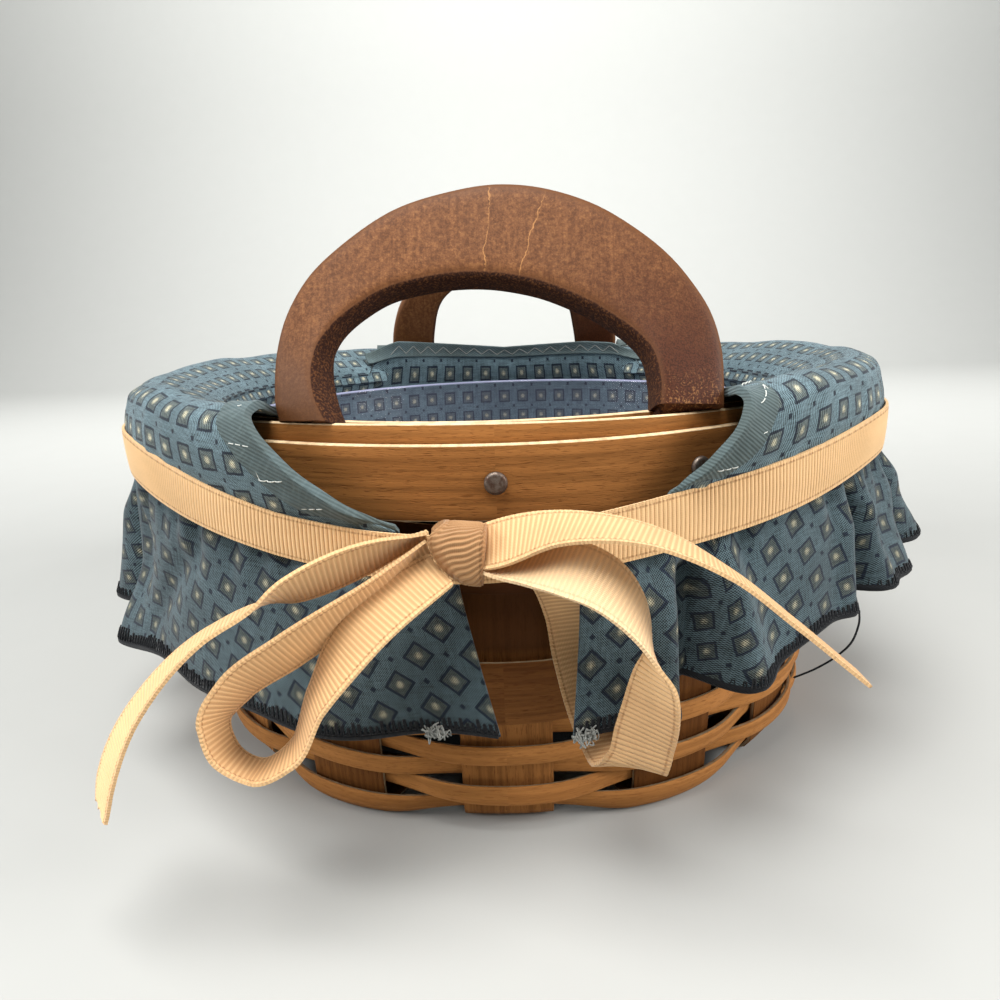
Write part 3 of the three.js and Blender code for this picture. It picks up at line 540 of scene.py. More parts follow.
def paint_twill():
    c = colours()
    p = Paint("facing_twill", Specular_IOR_Level=0.15, Sheen_Weight=0.1, Sheen_Roughness=0.5)
    along, across = p.flat()
    x, y, z = p.split(p.place())
    wale = ((x * 0.5 + z * 0.85 + y * 0.3) * (TURN / (0.62 * MM))).sine()
    slub = p.streaks(along * 1500, across * 300, 2.0, 0.6)
    cloud = p.streaks(along * 90, across * 90, 3.0, 0.5)
    tone = p.mix((wale * 0.5 + 0.5) * 0.55, scaled(c.twill, 1.2), scaled(c.twill, 0.45))
    tone = p.mix(slub.ramp(0.45, 0.75) * 0.35, tone, scaled(c.twill, 1.9))
    tone = p.mix(cloud.ramp(0.4, 0.7) * 0.3, tone, scaled(c.print_ground, 1.1))
    p.set(Base_Color=tone, Roughness=0.9)
    p.bump(wale * 0.6 + slub * 0.5, 0.00012, 0.6)
    return p.material


def paint_grosgrain():
    c = colours()
    ribbon = bpy.context.scene.basket_ribbon
    p = Paint("ribbed_grosgrain", Specular_IOR_Level=0.25, Sheen_Weight=0.18, Sheen_Roughness=0.4)
    along, across = p.flat()
    _, share = p.flat("Share")
    rib = (along * (TURN / ribbon.rib) + math.pi / 2).sine()
    edge = (abs(share - 0.5) * 2.0).ramp(0.86, 0.90)
    weft = (across * (TURN / (0.32 * MM))).sine()
    knots = (along * (TURN / (0.64 * MM))).sine()
    fibre = p.streaks(along * 900, across * 3200, 2.0, 0.6)
    cloud = p.streaks(along * 45, across * 120, 3.0, 0.5)
    # Painted shade in the grooves between the ribs
    groove_shade = (0.0 - rib).ramp(0.05, 0.98) * (1.0 - edge)
    border = (abs(share - 0.5) * 2.0).ramp(0.79, 0.83) * (1.0 - edge)
    tone = p.mix(cloud.ramp(0.3, 0.75), scaled(c.grosgrain, 0.93), scaled(c.grosgrain, 1.06))
    tone = p.mix(groove_shade * 0.52, tone, (0.36, 0.155, 0.048))
    tone = p.mix(fibre.ramp(0.5, 0.8) * 0.25, tone, scaled(c.grosgrain, 0.72))
    tone = p.mix(edge * (knots * 0.5 + 0.5) * 0.30, tone, (0.44, 0.21, 0.075))
    tone = p.mix(border * (knots * 0.25 + 0.5), tone, (0.30, 0.125, 0.04))
    # The tone attribute is painted light above 0 and painted shade below 0
    shade = p.attribute("tone")
    tone = p.mix((shade * -1.0).ramp(0.0, 1.0), tone, (0.28, 0.13, 0.05))
    tone = p.mix(shade.ramp(0.0, 1.0), tone, (0.95, 0.76, 0.50))
    p.set(Base_Color=tone, Roughness=0.74)
    p.bump(rib * (1.0 - edge) * 0.6 + weft * 0.12 + knots * edge * 0.5 + fibre * 0.25, 0.00012, 0.7)
    return p.material


def paint_steel():
    c = colours()
    p = Paint("dull_steel", Specular_IOR_Level=0.5)
    where = p.place()
    rust = p.noise(where, 700.0, 4.0, 0.65)
    dent = p.noise(where, 1500.0, 2.0, 0.5)
    tone = p.mix(rust.ramp(0.42, 0.68), c.steel, (0.075, 0.038, 0.024))
    p.set(Base_Color=tone, Metallic=1.0 - rust.ramp(0.5, 0.75) * 0.6, Roughness=0.38 + rust * 0.3)
    p.bump(dent + rust * 0.5, 0.00012, 0.6)
    return p.material


def paint_thread(name, rgb):
    p = Paint(name, Specular_IOR_Level=0.2, Sheen_Weight=0.1)
    along, across = p.flat()
    ply = ((along + across) * (TURN / (0.5 * MM))).sine()
    fibre = p.streaks(along * 2500, across * 2500, 2.0, 0.6)
    tone = p.mix((ply * 0.5 + 0.5) * 0.5, scaled(rgb, 1.25), scaled(rgb, 0.5))
    p.set(Base_Color=p.mix(fibre.ramp(0.5, 0.8) * 0.3, tone, scaled(rgb, 2.0)), Roughness=0.85)
    p.bump(ply * 0.5 + fibre * 0.5, 0.00008, 0.6)
    return p.material


def paint_plastic():
    c = colours()
    p = Paint("insert_plastic", Base_Color=c.plastic, IOR=1.49)
    where = p.place()
    scuff = p.noise(where, 260.0, 4.0, 0.65)
    gloss = p.node("ShaderNodeFresnel", {}, 1.45)
    _, _, z = p.split(where)
    lip = z.ramp(0.0760, 0.0768)
    p.set(Alpha=gloss * 0.28 + 0.045 + lip * 0.55, Roughness=0.07 + scuff.ramp(0.5, 0.8) * 0.12)
    return p.material


def paint_floor():
    c = colours()
    p = Paint("pale_floor", Specular_IOR_Level=0.2)
    speck = p.noise(p.place(), 40.0, 3.0, 0.5)
    p.set(Base_Color=p.mix(speck, scaled(c.floor, 0.985), scaled(c.floor, 1.015)), Roughness=0.8)
    return p.material


FINISHES = {
    "maple": paint_maple,
    "raw_edge": lambda: paint_raw_edge("raw_maple_edge", colours().raw_edge),
    "worn_edge": lambda: paint_raw_edge("worn_maple_edge", scaled(colours().raw_edge, 0.36)),
    "leather": paint_leather,
    "print_collar": lambda: paint_print("print_collar", 0.80, (COLLAR_FLAT, 0.052)),
    # The skirt's print is a darker copy of the collar's print: painted shade
    "print_skirt": lambda: paint_print("print_skirt", 0.41, (0.40, 0.040)),
    "print_bowl": lambda: paint_print("print_bowl", 0.78),
    # A near-black lining where the bowl shows through the weave: painted shade
    "painted_shade_lining": lambda: paint_thread("painted_shade_lining", scaled(colours().print_ground, 0.05)),
    "twill": paint_twill,
    "grosgrain": paint_grosgrain,
    "tack_steel": paint_steel,
    "pale_thread": lambda: paint_thread("pale_thread", colours().pale_thread),
    "dark_thread": lambda: paint_thread("dark_thread", colours().dark_thread),
    "fray": lambda: paint_thread("frayed_cotton", scaled(colours().pale_thread, 0.42)),
    "clear_plastic": paint_plastic,
    "floor": paint_floor,
}

# Materials made so far, by finish
MADE = {}


def finish(name):
    if name not in MADE:
        MADE[name] = FINISHES[name]()
    return MADE[name]


def around(radius, turn, height):
    """Points at a radius, an angle from the front towards the right, and a height."""
    shape = np.broadcast(radius, turn, height).shape
    return np.stack(
        [np.broadcast_to(x, shape) for x in (radius * np.sin(turn), -radius * np.cos(turn), height)], axis=-1
    )


def lerp(a, b, share):
    return a + (b - a) * share


def ease(x):
    x = np.clip(x, 0, 1)
    return x * x * (3 - 2 * x)


def ripple(x, seed, *waves):
    """Sum of sine waves with seeded phases; each wave is (count, height)."""
    phases = np.random.default_rng(seed).uniform(0, TURN, len(waves))
    return sum(height * np.sin(count * x + phase) for (count, height), phase in zip(waves, phases))


def unit(vectors):
    return vectors / np.linalg.norm(vectors, axis=-1, keepdims=True)


def nearest(share, count):
    """Index of the station nearest to a share of the way along."""
    return np.rint(share * (count - 1)).astype(int)


def lengths(points):
    """Length along a line of points, at each of them."""
    return np.concatenate(([0], np.cumsum(np.linalg.norm(np.diff(points, axis=0), axis=1))))


def cubic(near, far, near_slope, far_slope, gap, t):
    """Point of a smooth curve at a share of the way between two stations with given slopes."""
    start = near * (1 + 2 * t) * (1 - t) ** 2 + near_slope * gap * t * (1 - t) ** 2
    return start + far * t * t * (3 - 2 * t) + far_slope * gap * t * t * (t - 1)


def rib_relief(u, v, ribs):
    """Height of a ribbon's ribs, which stop at its two selvedges."""
    edge = ease((np.abs(v - 0.5) * 2 - 0.84) / 0.06)
    return 0.09 * MM * np.cos(TURN * ribs * u) * (1 - edge)


def smooth_run(stations, count):
    """Evenly spaced stations on a smooth curve through the given ones; the first three values are places."""
    points = np.array(stations, float)
    knots = lengths(points[:, :3])
    slopes = np.gradient(points, knots, axis=0)
    at = np.linspace(0, knots[-1], count)
    i = np.clip(np.searchsorted(knots, at, side="right") - 1, 0, len(knots) - 2)
    gap = (knots[i + 1] - knots[i])[:, None]
    t = (at - knots[i])[:, None] / gap
    return cubic(points[i], points[i + 1], slopes[i], slopes[i + 1], gap, t)


def grid(name, columns, rows, shape, span, ring=False, tone=None):
    """Grid bent into a piece: shape(u, v) gives points, span the flat size, or both flat coordinates."""
    bpy.ops.object.select_all(action="DESELECT")
    bpy.ops.mesh.primitive_grid_add(x_subdivisions=columns, y_subdivisions=rows, size=1)
    piece = bpy.context.active_object
    mesh = piece.data
    piece.name = mesh.name = name
    flat = np.empty(3 * len(mesh.vertices))
    mesh.vertices.foreach_get("co", flat)
    u, v = flat.reshape(-1, 3)[:, :2].T + 0.5
    mesh.vertices.foreach_set("co", np.ascontiguousarray(shape(u, v), float).ravel())
    share = mesh.uv_layers.active
    share.name = "Share"
    metres = mesh.uv_layers.new(name="Metres")
    values = np.empty(2 * len(mesh.loops))
    mesh.uv_layers["Share"].uv.foreach_get("vector", values)
    values = values.reshape(-1, 2)
    if callable(span):
        values = np.stack(span(values[:, 0], values[:, 1]), axis=-1)
    else:
        values = values * span
    metres.uv.foreach_set("vector", values.ravel())
    if tone is not None:
        layer = mesh.attributes.new("tone", "FLOAT", "POINT")
        layer.data.foreach_set("value", tone(u, v) if callable(tone) else np.full(len(u), tone))
    mesh.update()
    if ring:
        edit(lambda: bpy.ops.mesh.remove_doubles(threshold=1e-6))
    return piece


def surface(shape, count=60):
    """Area of a bent sheet, worked out on a coarse grid."""
    u, v = np.meshgrid(np.linspace(0, 1, count), np.linspace(0, 1, count), indexing="ij")
    points = shape(u.ravel(), v.ravel()).reshape(count, count, 3)
    along, across = np.diff(points, axis=0)[:, :-1], np.diff(points, axis=1)[:-1]
    return float(np.linalg.norm(np.cross(along, across), axis=-1).sum())


def pick(piece):
    """Makes a piece the active one and the only one selected."""
    bpy.ops.object.select_all(action="DESELECT")
    piece.select_set(True)
    bpy.context.view_layer.objects.active = piece


def edit(*steps):
    """Runs steps in edit mode on the whole active mesh."""
    bpy.ops.object.mode_set(mode="EDIT")
    bpy.ops.mesh.select_all(action="SELECT")
    for step in steps:
        step()
    bpy.ops.object.mode_set(mode="OBJECT")


def modify(piece, kind, **settings):
    pick(piece)
    bpy.ops.object.modifier_add(type=kind)
    modifier = piece.modifiers[-1]
    for key, value in settings.items():
        setattr(modifier, key, value)
    bpy.ops.object.modifier_apply(modifier=modifier.name)


def coat(piece, *names):
    """Adds the finishes that a piece doesn't have yet, in the order of its material slots."""
    for name in names[len(piece.data.materials):]:
        piece.data.materials.append(finish(name))


def thicken(piece, thick, bevel=0.0, worn=-1):
    """Gives a strip its thickness; a second material is for its cut edges, and worn for its rounded ones."""
    rim = max(len(piece.data.materials) - 1, 0)
    modify(piece, "SOLIDIFY", thickness=thick, offset=0, material_offset_rim=rim, use_rim=True)
    if bevel:
        modify(piece, "BEVEL", width=bevel, segments=2, limit_method="ANGLE", angle_limit=SHARP_EDGE,
               material=worn)


def settle(piece, slot, *materials, nodes=(), body="basket", sharp=45):
    """Gives a finished piece its materials, by default the one its slot names, attaches it to its body and
    hides the nodes it stands for.
    """
    pick(piece)
    edit(lambda: bpy.ops.mesh.normals_make_consistent(inside=False))
    bpy.ops.object.shade_smooth_by_angle(angle=math.radians(sharp))
    coat(piece, *(materials or (slot,)))
    if body:
        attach(piece, body)
    if nodes:
        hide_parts(*nodes)
    return piece


def tube(name, points, radius, sides=8):
    """Round thread along points; its ends are closed by narrowing them."""
    points = np.asarray(points)
    count = len(points)
    ahead = unit(np.gradient(points, axis=0))
    up = np.array((0.31, 0.17, 0.93))
    first = unit(np.cross(ahead, up))
    second = np.cross(first, ahead)
    radii = np.full(count, radius)
    radii[[0, -1]] = 0

    def shape(u, v):
        i = nearest(u, count)
        turn = TURN * v
        way = first[i] * np.cos(turn)[:, None] + second[i] * np.sin(turn)[:, None]
        return points[i] + way * radii[i][:, None]

    run = lengths(points)[-1]
    return grid(name, count - 1, sides, shape, (run, TURN * radius), ring=True)


class Form:
    """Radii, heights and angles that follow from the sizes, shared by the pieces."""

    def __init__(self, scene):
        self.wood = wood = scene.basket_wood
        self.handle = handle = scene.basket_handle
        self.cloth = cloth = scene.basket_cloth
        self.ribbon = scene.basket_ribbon
        self.wall_top = (
            wood.rim_radius - wood.trim_thick - wood.backing_thick - 2 * wood.fit - wood.splint_thick / 2
        )
        self.base_radius = wood.rim_radius - wood.base_inset
        self.lean = math.atan2(self.wall_top - self.base_radius, wood.rim_height)
        self.pitch = TURN / UPRIGHTS
        self.corner_height = wood.splint_thick / 2 + wood.corner
        self.corner_centre = self.wall_radius(self.corner_height) - wood.corner / math.cos(self.lean)
        self.corner_length = wood.corner * (math.pi / 2 - self.lean)
        self.rail_bottom = wood.rim_height - wood.trim_drop - wood.trim_height
        self.tab_radius = self.tab_outside(wood.rim_height) - handle.tab_thick / 2
        self.leg_centre = (handle.width - handle.leg_width) / 2
        self.leg_angle = math.asin(self.leg_centre / self.tab_radius)
        self.leg_plane = self.tab_radius * math.cos(self.leg_angle)
        self.knee_height = wood.rim_height + 3.15 * MM
        self.roll_outside = wood.rim_radius + cloth.roll_out
        self.roll_inside = cloth.neck_radius - cloth.thick / 2
        self.bowl_top = wood.rim_height - 1 * MM
        self.bowl_floor = 9.1 * MM
        self.lip_half = math.asin((handle.width / 2 + 6.5 * MM) / cloth.neck_radius)

    def rear_lip(self, turn, v):
        """Radius and height of the raised edge at the rear handle: turn from the rear, v up to its top."""
        share = turn / self.lip_half
        ends = ease((1 - np.abs(share)) / 0.2)
        top = np.interp(share, *LIP_TOPS) * MM * lerp(0.55, 1, ends)
        radius = self.cloth.neck_radius - 0.6 * MM + lerp(5.0, -2.2, ends) * MM * v
        return radius, self.bowl_top - 0.6 * MM + top * v

    def wall_radius(self, z):
        return self.base_radius + z * math.tan(self.lean)

    def wall_at(self, run):
        """Radius, height and outward normal of the wall at a length from the start of its corner."""
        slope = np.minimum(run, self.corner_length) / self.wood.corner - math.pi / 2
        along = np.maximum(run - self.corner_length, 0)
        nr, nz = np.cos(slope), np.sin(slope)
        radius = self.corner_centre + self.wood.corner * nr - along * nz
        return radius, self.corner_height + self.wood.corner * nz + along * nr, nr, nz

    def tab_outside(self, z):
        return self.wall_radius(z) - self.wood.splint_thick / 2 - self.wood.fit

    def inner_outside(self, z):
        return self.tab_outside(z) - self.handle.tab_thick - self.wood.fit

    def backing_inside(self, z):
        return self.wall_radius(z) + self.wood.splint_thick / 2 + self.wood.fit

    def trim_inside(self, z):
        return self.backing_inside(z) + self.wood.backing_thick + self.wood.fit

    def tie_share(self, turn):
        turn = (turn + math.pi) % TURN - math.pi
        from_handle = np.minimum(np.abs(turn), np.abs(math.pi - np.abs(turn)))
        return (1 - np.cos(math.pi * np.minimum(from_handle / math.radians(60), 1))) / 2

    def tie_radius(self, turn):
        out = lerp(self.cloth.tie_out_front, self.cloth.tie_out_side, self.tie_share(turn))
        return self.wood.rim_radius + out

    def tie_height(self, turn):
        drop = lerp(self.cloth.tie_drop_front, self.cloth.tie_drop_side, self.tie_share(turn))
        return self.wood.rim_height - drop

    def ribbon_dip(self, turn):
        return np.interp(np.degrees((turn + math.pi) % TURN - math.pi), *RIBBON_DIP) * MM

    def ribbon_radius(self, turn):
        return self.tie_radius(turn) + 1.7 * MM + self.ribbon.thick / 2

    def roll_section(self, w, turn, side):
        """Radius and height of the collar: w from 0 inside the rim, over the roll, to the tie at 1."""
        degrees, rises = zip(*ROLL_TOPS[side])
        top = self.wood.rim_height + np.interp(np.degrees(turn), degrees, rises) * MM
        tie, tie_z = self.tie_radius(turn), self.tie_height(turn)
        ribbon_top = tie_z + self.ribbon.width / 2 + self.wood.fit - self.ribbon_dip(side * turn)
        inside, outside = self.roll_inside, self.roll_outside
        foot = self.bowl_top - 3.2 * MM
        same = np.ones_like(top)
        points = np.array((
            ((inside - 1.0 * MM) * same, foot * same),
            ((inside + 1.8 * MM) * same, lerp(foot, top, 0.40)),
            ((inside + 9.0 * MM) * same, lerp(foot, top, 0.80)),
            ((outside - 4.6 * MM) * same, top),
            ((outside - 1.7 * MM) * same, top - 1.5 * MM),
            ((outside - 0.7 * MM) * same, lerp(top, ribbon_top, 0.48)),
            (tie + 0.9 * MM, ribbon_top),
            (tie, tie_z),
        ))
        knots = np.array(ROLL_KNOTS)
        slopes = np.gradient(points, knots, axis=0)
        i = np.clip(np.searchsorted(knots, w, side="right") - 1, 0, len(knots) - 2)
        each = np.arange(len(w))
        gap = knots[i + 1] - knots[i]
        s = (w - knots[i]) / gap
        near, far = points[i, :, each].T, points[i + 1, :, each].T
        near_slope, far_slope = slopes[i, :, each].T, slopes[i + 1, :, each].T
        return cubic(near, far, near_slope, far_slope, gap, s)

    def roll_point(self, w, turn, side, distance):
        """Point on a side's collar at a distance outwards from its section."""
        radius, height = self.roll_section(w, turn, side)
        r0, z0 = self.roll_section(np.maximum(w - 0.004, 0), turn, side)
        r1, z1 = self.roll_section(np.minimum(w + 0.004, 1), turn, side)
        reach = np.hypot(r1 - r0, z1 - z0)
        points = around(radius - distance * (z1 - z0) / reach, turn, height + distance * (r1 - r0) / reach)
        points[:, 0] *= side
        return points

    def roll_runs(self, side, turns, steps=80):
        """Length of cloth along the collar's section, for some angles and evenly spaced w."""
        w = np.linspace(0, 1, steps)
        runs = []
        for turn in turns:
            radius, height = self.roll_section(w, np.full(steps, turn), side)
            runs.append(np.concatenate(([0], np.cumsum(np.hypot(np.diff(radius), np.diff(height))))))
        return np.array(runs)

    def collar_end(self, w, neck):
        """Angle where a collar ends beside a handle: square to the leg on top, sweeping in to the ribbon."""
        shoulder = ROLL_KNOTS[3]
        reach = np.interp(w, (0, shoulder), (self.roll_inside, self.roll_outside - 4 * MM))
        beside = np.arcsin((self.handle.width / 2 + 2.2 * MM) / reach)
        fall = np.clip((w - shoulder) / (ROLL_KNOTS[6] - shoulder), 0, 1)
        return lerp(beside, neck, fall * fall)


class PieceOperator:
    """Shared by the operators that make pieces"""

    bl_options = {"REGISTER", "UNDO"}

    def execute(self, context):
        self.make(Form(context.scene))
        return {"FINISHED"}


class BASKET_OT_splints(PieceOperator, bpy.types.Operator):
    """Seven splints that cross under the base and stand up as two uprights each"""

    bl_idname = "basket.splints"
    bl_label = "Splints"

    def make(self, form):
        wood = form.wood
        hub = (wood.hub_width / 2 + wood.fit) / math.tan(form.pitch / 2)
        full = (wood.splint_width / 2 + wood.fit) / math.tan(form.pitch / 2)
        wall_end = (wood.rim_height - 2 * MM - form.corner_height) / math.cos(form.lean) + form.corner_length
        half = form.corner_centre + wall_end
        for layer in range(UPRIGHTS // 2):
            heading = layer * form.pitch

            def shape(u, v):
                run = (2 * u - 1) * half
                far = np.abs(run)
                wall_r, wall_z, _, _ = form.wall_at(np.maximum(far - form.corner_centre, 0))
                on_wall = far > form.corner_centre
                lift = layer * (wood.splint_thick + wood.fit) * ease(1 - (far - hub) / (17 * MM))
                radius = np.where(on_wall, wall_r, far)
                height = np.where(on_wall, wall_z, wood.splint_thick / 2 + lift) + 0.05 * MM
                share = np.clip((far - hub) / (full - hub), 0, 1)
                across = (v - 0.5) * lerp(wood.hub_width, wood.splint_width - 0.6 * MM, share)
                across = across + ripple(run * 60, 11 + layer, (1, 0.12 * MM), (2.3, 0.08 * MM))
                sign = np.sign(run + 1e-12)
                straight = around(run, heading, height) + around(across, heading + math.pi / 2, 0 * height)
                way = np.where(sign > 0, heading, heading + math.pi)
                bent = around(radius, way + sign * across / np.maximum(radius, 10 * MM), height)
                turn = ease((radius - 45 * MM) / (28 * MM))[:, None]
                return straight * (1 - turn) + bent * turn

            piece = grid(
                f"upright_splint_{layer + 1}", 150, 5, shape, (2 * half, wood.splint_width),
                tone=math.sin(5.1 * layer) * 0.5 - 0.2,
            )
            coat(piece, "maple", "worn_edge")
            thicken(piece, wood.splint_thick, 0.18 * MM, 0)
            settle(piece, "maple", nodes=[f"splint_{layer + 1}"])


class BASKET_OT_weavers(PieceOperator, bpy.types.Operator):
    """Narrow weavers at the foot and wide ones above, each outside one upright and inside the next"""

    bl_idname = "basket.weavers"
    bl_label = "Weavers"

    def make(self, form):
        wood = form.wood
        foot = math.asin((form.corner_height - 0.1 * MM) / (wood.corner + 2.4 * MM))
        start = wood.corner * (math.pi / 2 - foot)
        end = form.corner_length + (form.rail_bottom - form.corner_height) / math.cos(form.lean) - wood.fit
        wide_start = start + NARROW_ROWS * wood.narrow_pitch
        wide_pitch = (end - wide_start) / WIDE_ROWS
        for row in range(1, NARROW_ROWS + WIDE_ROWS + 1):
            narrow = row <= NARROW_ROWS
            pitch = wood.narrow_pitch if narrow else wide_pitch
            low = start + (row - 1) * pitch if narrow else wide_start + (row - 1 - NARROW_ROWS) * pitch
            width = pitch - wood.weaver_slit

            def shape(u, v):
                turn = TURN * u
                wave = np.tanh(1.15 * np.cos(turn * UPRIGHTS / 2)) / math.tanh(1.15) * (-1) ** row
                reach = np.where(wave > 0, wood.weave_out, wood.weave_in)
                reach = reach + ripple(turn, row, (3, 0.12 * MM), (5, 0.12 * MM))
                cup = 0.28 * MM * (1 - (2 * v - 1) ** 2)
                drift = ripple(turn, 30 + row, (2, 0.12 * MM), (5, 0.12 * MM), (9, 0.08 * MM))
                tilt = (v - 0.5) * ripple(turn, 60 + row, (7, 0.35 * MM), (4, 0.25 * MM))
                radius, height, nr, nz = form.wall_at(low + v * width + drift * min(row - 1, 1))
                offset = wave * reach + cup + tilt
                height = np.maximum(height + nz * offset, wood.weaver_thick / 2 + 0.05 * MM)
                return around(radius + nr * offset, turn, height)

            piece = grid(
                f"weaver_strip_{row}", 280, 5 if narrow else 9, shape, (TURN * form.wall_top, width),
                ring=True, tone=ROW_TONES_AND_SHADE[row - 1],
            )
            coat(piece, "maple", "worn_edge")
            thicken(piece, wood.weaver_thick, 0.2 * MM, 0)
            settle(piece, "maple", nodes=[f"weaver_{row}"])


class BASKET_OT_rim(PieceOperator, bpy.types.Operator):
    """Trim band, backing strip and inner band of the rim"""

    bl_idname = "basket.rim"
    bl_label = "Rim"

    def make(self, form):
        wood = form.wood
        rim_top = wood.rim_height
        trim_top = rim_top - wood.trim_drop

        def inner_inside(z):
            return form.inner_outside(z) - wood.inner_thick

        bands = (
            ("rim_trim_band", trim_top, wood.trim_height, form.trim_inside, wood.trim_thick, -0.1),
            ("rim_backing_strip", rim_top, wood.band_height, form.backing_inside, wood.backing_thick, 0.0),
            ("rim_inner_band", rim_top, wood.band_height, inner_inside, wood.inner_thick, 0.1),
        )
        for seed, (name, top, tall, inside, thick, tone) in enumerate(bands):
            def shape(u, v):
                turn = TURN * u
                z = top - tall + v * tall
                out = ripple(turn, seed, (2, 0.1 * MM), (5, 0.08 * MM))
                rise = ripple(turn, seed + 5, (2, 0.15 * MM), (3, 0.15 * MM), (7, 0.06 * MM))
                return around(inside(z) + thick / 2 + out, turn, z + rise * v)

            piece = grid(f"{name}_strip", 240, 6, shape, (TURN * wood.rim_radius, tall), ring=True, tone=tone)
            coat(piece, "maple", "raw_edge")
            thicken(piece, thick, 0.2 * MM, 1)
            settle(piece, "maple", nodes=[name])


class BASKET_OT_tacks(PieceOperator, bpy.types.Operator):
    """Tacks that hold the rim and the handles"""

    bl_idname = "basket.tacks"
    bl_label = "Tacks"

    # The tack that the facing hides sits lower, in metres
    HIDDEN_DROP = 4.4 * MM

    def make(self, form):
        wood = form.wood
        height = wood.rim_height - wood.trim_drop - wood.trim_height / 2
        seat = form.trim_inside(height) + wood.trim_thick + 0.15 * MM
        places = {
            "front_centre": 0, "front_right": form.leg_angle, "side_right": math.pi / 2,
            "rear_right": math.pi - form.leg_angle, "rear_centre": math.pi,
            "rear_left": math.pi + form.leg_angle, "side_left": -math.pi / 2, "front_left": -form.leg_angle,
        }
        pattern = self.pattern(wood.tack_radius, 8 * MM)
        for number, (place, turn) in enumerate(places.items()):
            pick(pattern)
            bpy.ops.object.duplicate(linked=False)
            piece = bpy.context.active_object
            piece.name = piece.data.name = f"tack_head_{place}"
            tip = Matrix.Rotation(0.05 * math.sin(3 * number + 1), 4, "X")
            way = Matrix.Rotation(turn, 4, "Z") @ Matrix.Rotation(math.pi / 2, 4, "X") @ tip
            drop = self.HIDDEN_DROP if place == "front_left" else 0.0
            centre = around(seat - drop * math.tan(form.lean), turn, height - drop)
            piece.data.transform(Matrix.Translation(Vector(centre)) @ way)
            settle(piece, "tack_steel", nodes=[f"tack_{place}"], sharp=60)
        bpy.data.objects.remove(pattern)

    def pattern(self, radius, depth):
        """One tack at the origin, its head up, that the others are copied from."""
        bpy.ops.object.select_all(action="DESELECT")
        bpy.ops.mesh.primitive_cylinder_add(
            vertices=24, radius=radius * 0.86, depth=1.0 * MM, location=(0, 0, 0.5 * MM)
        )
        piece = bpy.context.active_object
        bpy.ops.object.transform_apply(location=True)
        bpy.ops.object.mode_set(mode="EDIT")
        bpy.ops.mesh.select_all(action="DESELECT")
        bpy.ops.object.mode_set(mode="OBJECT")
        for face in piece.data.polygons:
            face.select = face.normal.z < -0.5
        bpy.ops.object.mode_set(mode="EDIT")
        bpy.ops.transform.resize(value=(1.163, 1.163, 1))
        bpy.ops.mesh.inset(thickness=radius - 0.7 * MM)
        bpy.ops.mesh.extrude_region_move(TRANSFORM_OT_translate={"value": (0, 0, -depth)})
        bpy.ops.object.mode_set(mode="OBJECT")
        modify(piece, "BEVEL", width=0.45 * MM, segments=3, limit_method="ANGLE", angle_limit=SHARP_EDGE)
        return piece


